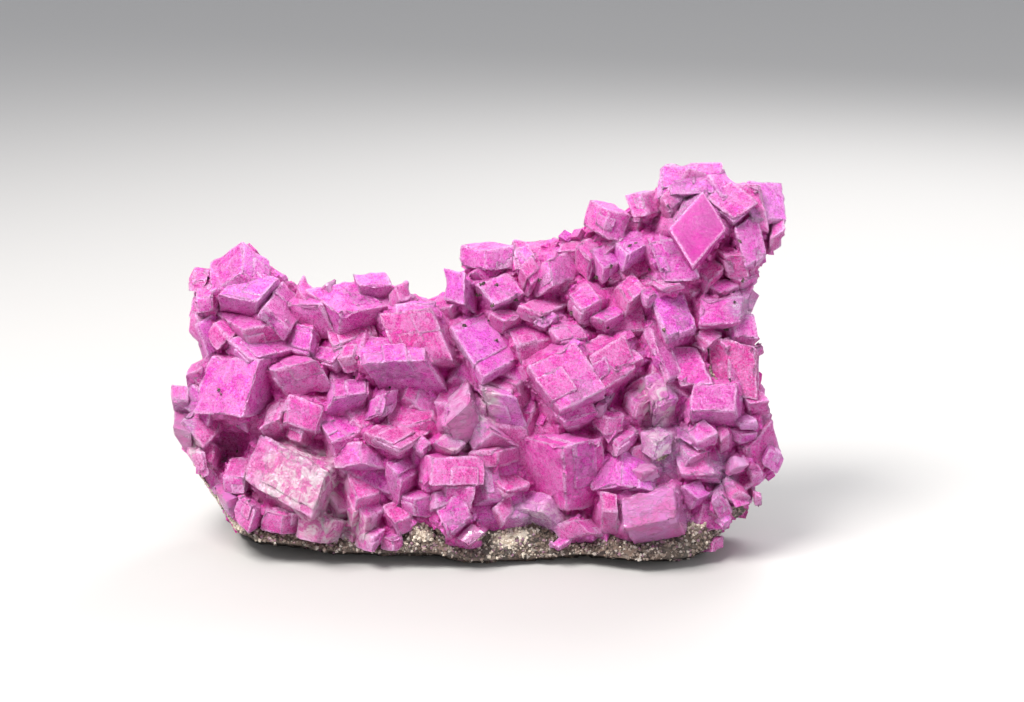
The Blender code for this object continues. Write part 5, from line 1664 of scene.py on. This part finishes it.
def crystal_material(name, frost, subsurface, roughness):
    """Frosted pink crystal: a fibrous web of pale frost on deep pink, with painted shade of deeper magenta in
    the gaps and the fine pits, and pale edges that are partly frost and partly painted highlight.
    """
    s = Shader(name)
    tint = s.layer("tint", "Color")
    glass = s.layer("glass")
    web = s.threads(0.9, 0.045, (1.0, 1.0, 1.5), 1.6)
    fine_web = s.threads(1.9, 0.05, (1.3, 1.0, 1.0), 1.4)
    hair = s.threads(3.4, 0.07, (1.0, 1.2, 1.0), 0.9)
    fine = s.noise(4.6, detail=3.0, roughness=0.85, distortion=0.3)
    broad = s.noise(0.28, detail=3.0, roughness=0.55)
    cloud = s.noise(0.62, detail=6.0, roughness=0.72, distortion=0.9)
    dull = s.without(s.times(glass, 0.8))
    hot = s.mix(1.0, tint, colour_of("hot"), blend="MULTIPLY")
    rich = s.mix(s.times(s.ramp(broad, 0.46, 0.64), 0.4), hot, colour_of("vivid"))
    # Painted shade in the fine pits: the pit colour goes where the fine noise, and with it the bump, is
    # lowest.
    body = s.mix(s.times(s.ramp(fine, 0.5, 0.4), 0.75, dull), rich, colour_of("painted_pit_shade"))
    frosty = s.times(s.ramp(cloud, 0.45, 0.57), s.ramp(web, 0.0, 1.0, 0.25, 0.7))
    frosty = s.plus(frosty, s.times(fine_web, 0.6))
    frosty = s.plus(frosty, s.times(hair, s.ramp(cloud, 0.38, 0.56, 0.3, 0.8)))
    # Frost on the fine bump's high points: partly the crystals' own frost, partly a painted highlight on the
    # ridges.
    frosty = s.plus(frosty, s.times(s.ramp(fine, 0.53, 0.64), 0.45))
    pale = s.mix(s.times(frosty, frost, dull), body, colour_of("frost"))
    # Pale along the edges: partly frost, partly a painted highlight that the edges would catch.
    edge = s.times(s.layer("tint", "Alpha"), s.ramp(fine, 0.42, 0.56, 0.15, 0.85))
    pale = s.mix(edge, pale, colour_of("edge_frost_and_painted_highlight"))
    # Painted shade in the gaps: where the deep layer says a point lies sunk below its surroundings, the
    # colour turns to the painted gap shade.
    dark = s.mix(s.ramp(fine, 0.38, 0.6), colour_of("painted_gap_shade_dark"), colour_of("painted_gap_shade_bright"))
    pink = s.mix(s.layer("deep"), pale, dark)
    milk = s.times(s.layer("milk"), s.ramp(cloud, 0.38, 0.56, 0.5, 1.0))
    white = s.mix(s.ramp(cloud, 0.42, 0.62), colour_of("milk_pink"), colour_of("milk_white"))
    pink = s.mix(milk, pink, white)
    lilac = s.times(s.layer("lilac"), s.ramp(cloud, 0.62, 0.44, 0.3, 0.9), dull)
    pearl = s.mix(s.ramp(web, 0.1, 0.9), colour_of("pearl_lilac"), colour_of("pearl_white"))
    pink = s.mix(lilac, pink, pearl)
    bare = s.ramp(s.layer("bare"), 0.35, 0.6)
    glossy = s.times(s.plus(lilac, milk, glass), 0.2)
    height = s.plus(s.times(web, 0.25), s.times(fine_web, 0.25), s.times(fine, 0.5))
    height = s.times(height, s.without(s.times(glass, 0.85)))
    return s.finish(
        Base_Color=s.mix(bare, pink, s.rock_colour()),
        Roughness=s.math("SUBTRACT", s.ramp(cloud, 0.4, 0.62, roughness, roughness + 0.25), glossy),
        IOR=1.6,
        Specular_IOR_Level=0.3,
        Subsurface_Weight=s.times(s.without(bare), subsurface),
        Subsurface_Radius=(1.0, 0.8, 0.95),
        Subsurface_Scale=0.2 * MM,
        Normal=s.bump(height, 0.6),
    )


def clear_material():
    """Colourless to lilac crystal, see-through, with silky white streaks."""
    s = Shader("clear_crystal")
    streaks = s.threads(0.55, 0.035, (1.0, 1.0, 2.4), 2.2)
    cloud = s.noise(0.45, detail=5.0, roughness=0.6, distortion=1.2)
    fine = s.noise(3.0, detail=4.0, roughness=0.7)
    blush = s.mix(s.ramp(cloud, 0.4, 0.62), s.layer("tint", "Color"), colour_of("blush"))
    return s.finish(
        Base_Color=s.mix(s.times(streaks, 0.2), blush, colour_of("silk")),
        Roughness=s.ramp(cloud, 0.35, 0.65, 0.04, 0.2),
        IOR=1.6,
        Transmission_Weight=0.35,
        Normal=s.bump(s.plus(streaks, s.times(fine, 0.2)), 0.04),
    )


def rock_material():
    """Brown-grey granular rock with cream patches and small sparkling grains."""
    s = Shader("rock")
    distance, tone = s.cells(2.2)
    fine = s.noise(2.4, detail=5.0, roughness=0.75)
    return s.finish(
        Base_Color=s.rock_colour(),
        Roughness=s.ramp(tone["Blue"], 0.86, 0.95, 0.85, 0.2),
        Normal=s.bump(s.plus(s.times(distance, 0.8), s.times(fine, 0.6)), 0.3),
    )


def grain_material(name, roughness):
    """Grains that take their colour from the mesh."""
    s = Shader(name)
    fine = s.noise(5.0, detail=3.0)
    dusty = s.ramp(fine, 0.4, 0.65, 0.0, 0.5)
    return s.finish(
        Base_Color=s.mix(dusty, s.layer("tint", "Color"), colour_of("dust")),
        Roughness=s.ramp(fine, 0.35, 0.65, roughness, roughness + 0.4),
    )


def floor_material():
    """A plain pale floor."""
    return Shader("pale_floor").finish(Base_Color=colour_of("floor") + (1.0,), Roughness=0.6)


def dress(item, material, node=None):
    """Gives a piece its material and its body, and hides the CAD part of the node that it stands for."""
    item.data.materials.clear()
    item.data.materials.append(material)
    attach(item, "root")
    if node:
        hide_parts(node)


def crisp(mesh, degrees):
    """Smooth shading with sharp edges where faces meet steeply."""
    for polygon in mesh.polygons:
        polygon.use_smooth = True
    mesh.set_sharp_from_angle(angle=math.radians(degrees))


def drawn_blocks():
    """Every drawn crystal with its tone, how many plates it carries and how rough it is."""
    blocks = []
    for row in CRYSTALS + SMALL:
        tone = row[TONE]
        calm = crust_lift(row[0], row[1]) + CRYSTAL_ROOT
        lower = LOWERED if row[:2] in LONELY else 0.0
        nearest, edges = corner_edges(row, CALMING * calm + (1.0 - CALMING) * row[LIFT] - lower)
        wider = [SPREAD * edge for edge in edges]
        if tone not in ("glassy", "clear") and within_limits(nearest, wider):
            edges = wider
        size = max(np.linalg.norm(edge) for edge in edges)
        plates = 0 if tone == "glassy" else sum(size > least for least in PLATED_SIZES)
        blocks.append((nearest, edges, tone, plates, GLASSY_RELIEF if tone == "glassy" else DRAWN_RELIEF))
    return blocks


def all_blocks(plain, rng):
    """The large crystals: drawn, on the bare spots and around the edge. The clear ones come apart."""
    edge_blocks = rim_blocks(plain)
    front_blocks = filler_blocks(plain)
    drawn = drawn_blocks()
    blocks = [block for block in drawn if block[2] != "clear"]
    _, _, outward = axes()
    for nearest, edges in front_blocks:
        tone = rng.choice(("pink", "pink", "pale", "deep", "mauve"))
        blocks.append((nearest - SINKING * outward, edges, tone, 1, EXTRA_RELIEF))
    for nearest, edges in edge_blocks:
        middle = seen_at(nearest + 0.5 * (edges[0] + edges[1] + edges[2]))
        if not inside(*middle, CRUST_EDGE):
            inward = np.array((0.0 - middle[0], 18.0 - middle[1]))
            inward = RIM_DRAWN_IN * inward / np.linalg.norm(inward)
            nearest = nearest + chart_point(*inward) - chart_point(0.0, 0.0)
        blocks.append((nearest, edges, rng.choice(("pink", "pale", "mauve", "deep")), 1, EXTRA_RELIEF))
    return blocks, [block for block in drawn if block[2] == "clear"]


def shells(name, blocks, plated, rng, home):
    """A group of crystals with their growth plates, each a closed shell, as one piece."""
    groups = []
    smooth = []
    for nearest, edges, tone, plates, relief in blocks:
        made = crystal_surfaces(nearest, edges, tone, plates if plated else 0, relief, rng)
        groups += made
        smooth += [np.full(len(group[0]), GLASS.get(tone, 0.0)) for group in made]
    points = np.concatenate([group[0] for group in groups])
    starts = np.cumsum([0] + [len(group[0]) for group in groups[:-1]])
    quads = np.concatenate([group[1] + start for group, start in zip(groups, starts)])
    rims = np.concatenate([group[2] for group in groups])
    colours = np.concatenate([group[3] for group in groups])
    mesh = bpy.data.meshes.new(name)
    mesh.from_pydata(points.tolist(), [], quads.tolist())
    tint_points(mesh, colours, rims)
    add_point_layer(mesh, "glass", np.concatenate(smooth))
    cut_foot(mesh)
    return new_object(name, mesh, home)


def crust_bed(bed, rng, home):
    """The fused mass as a piece."""
    mesh = bed_mesh(bed, rng)
    cut_foot(mesh)
    return new_object("crystal_bed", mesh, home)


def field_blocks(bed, covered, rng):
    """Crystals that have grown into one another where no drawn one is seen, so that face meets face."""
    blocks = []
    for spacing, smallest, largest, rise in FIELD_TIERS:
        for u0 in np.arange(-32.0, 32.0, spacing):
            for v0 in np.arange(1.0, 42.0, spacing):
                u = u0 + rng.uniform(-0.5, 0.5) * spacing
                v = v0 + rng.uniform(-0.5, 0.5) * spacing
                size = rng.uniform(smallest, largest)
                above = rise * rng.uniform(*FIELD_RISES)
                if not inside(u, v, CRUST_EDGE) or v < foot_height(u) + FIELD_ABOVE_FOOT:
                    continue
                spot = (np.array([u]), np.array([v]))
                if sampled(covered, *spot)[0] > 0.5 or window_share(*spot)[0] > 0.3 or in_hollow(u, v):
                    continue
                size = min(size, 1.3 + 1.2 * distance_to(u, v, CRUST_EDGE))
                nearest, edges = filler_crystal(u, v, size, rng)
                nearest = nearest + place(u, v, sampled(bed, *spot)[0] + above)
                nearest = nearest - place(u, v, crust_lift(u, v) + FILLER_RISE * size)
                if within_limits(nearest, edges):
                    blocks.append((nearest, edges, near_tone(u, v, rng), 0, FIELD_RELIEF))
    return blocks


def in_hollow(u, v):
    """Whether a chart point lies in one of the open hollows."""
    return any(math.hypot(u - pit_u, v - pit_v) < 0.8 * radius for pit_u, pit_v, radius, _ in HOLLOWS)


def near_tone(u, v, rng):
    """The tone of a crystal close by."""
    rows = [row for row in CRYSTALS if row[TONE] not in UNLIKE_THE_REST]
    rows = sorted(rows, key=lambda row: math.hypot(row[0] - u, row[1] - v))[:3]
    return rng.choice(rows)[TONE]


def middle_of(block):
    """Where a crystal's middle lies across the chart."""
    centre = block[0] + 0.5 * (block[1][0] + block[1][1] + block[1][2])
    return seen_at(centre)[0]


def area_light(name, where, size, watts, colour):
    """A square soft light that looks at the specimen."""
    data = bpy.data.lights.new(name, "AREA")
    data.shape = "SQUARE"
    data.size = size
    data.energy = watts
    data.color = colour
    item = bpy.data.objects.new(name, data)
    item.location = where
    item.rotation_euler = (Vector(LOOKED_AT) - Vector(where)).to_track_quat("-Z", "Y").to_euler()
    bpy.context.scene.collection.objects.link(item)


def studio(home):
    """Floor, soft light and the camera."""
    shape = bmesh.new()
    bmesh.ops.create_grid(shape, x_segments=1, y_segments=1, size=FLOOR_SIZE)
    mesh = bpy.data.meshes.new("floor")
    shape.to_mesh(mesh)
    shape.free()
    floor = new_object("floor", mesh, home)
    floor.location = (0.0, 0.0, -FLOOR_GAP)
    floor.data.materials.append(floor_material())
    world = bpy.data.worlds.new("studio")
    world.use_nodes = True
    sky = world.node_tree.nodes["Background"]
    sky.inputs["Color"].default_value = SKY_COLOUR
    sky.inputs["Strength"].default_value = SKY_STRENGTH
    bpy.context.scene.world = world
    for light in LIGHTS:
        area_light(*light)
    data = bpy.data.cameras.new("camera")
    data.lens = LENS
    data.sensor_width = SENSOR
    data.clip_start = NEAREST_SEEN
    camera = bpy.data.objects.new("camera", data)
    camera.location = eye_point() * MM
    camera.rotation_euler = (math.radians(90.0) - LEAN, 0.0, 0.0)
    home.objects.link(camera)
    bpy.context.scene.camera = camera
    bpy.context.scene.view_settings.view_transform = "Standard"


def crystal_pieces(blocks, rng, home):
    """The large crystals as three pieces, from left to right."""
    names = ("crystals_left", "crystals_middle", "crystals_right")
    pieces = []
    for name, low, high in zip(names, PARTINGS, PARTINGS[1:]):
        group = [block for block in blocks if low <= middle_of(block) < high]
        pieces.append(shells(name, group, True, rng, home))
    return pieces


def build():
    """Every piece of the dressed specimen, and the studio."""
    home = bpy.context.scene.collection
    plain = random.Random(SEED)
    rng = random.Random(SEED + 1)
    blocks, clear = all_blocks(plain, rng)
    bed_table, smooth, covered = skin_tables(blocks + clear)
    crystals = crystal_pieces(blocks + field_blocks(bed_table, covered, rng), rng, home)
    see_through = shells("clear_crystals", clear, False, rng, home)
    bed = crust_bed(bed_table, rng, home)
    rock = weathered_rock(plain, home)
    small = druse(bed, smooth, rng, home)
    grains = rock_grains(rock, bed, rng, home)
    specks = joined("dark_specks", speck_parts(crystals, rng), home)
    for item in crystals + [see_through, bed, small]:
        places = coordinates(item.data)
        # How far each point lies sunk in a gap, which the crystal material paints as shade.
        add_point_layer(item.data, "deep", buried(places, smooth))
        add_point_layer(item.data, "milk", zone_share(places, MILKY, MILKY_SEED))
        add_point_layer(item.data, "lilac", zone_share(places, LILAC, LILAC_SEED))
    places = coordinates(bed.data)
    add_point_layer(bed.data, "bare", bare_rock(places))
    add_point_layer(bed.data, "cream", cream_share(places))
    for item in (small, grains, specks):
        outward_faces(item)
    pieces = crystals + [see_through, bed, small, rock, grains, specks]
    for item in pieces:
        into_box(item)
    for item in crystals + [see_through, bed]:
        crisp(item.data, CRYSTAL_CREASE)
    crisp(rock.data, ROCK_CREASE)
    pink = crystal_material("pink_crystal", frost=0.7, subsurface=0.3, roughness=0.34)
    for item in crystals + [bed]:
        dress(item, pink, "dolomite_crystals")
    dress(small, pink)
    dress(see_through, clear_material())
    dress(specks, grain_material("dark_grain", 0.6))
    dress(rock, rock_material(), "matrix")
    dress(grains, grain_material("rock_grain", 0.35))
    studio(home)


build()
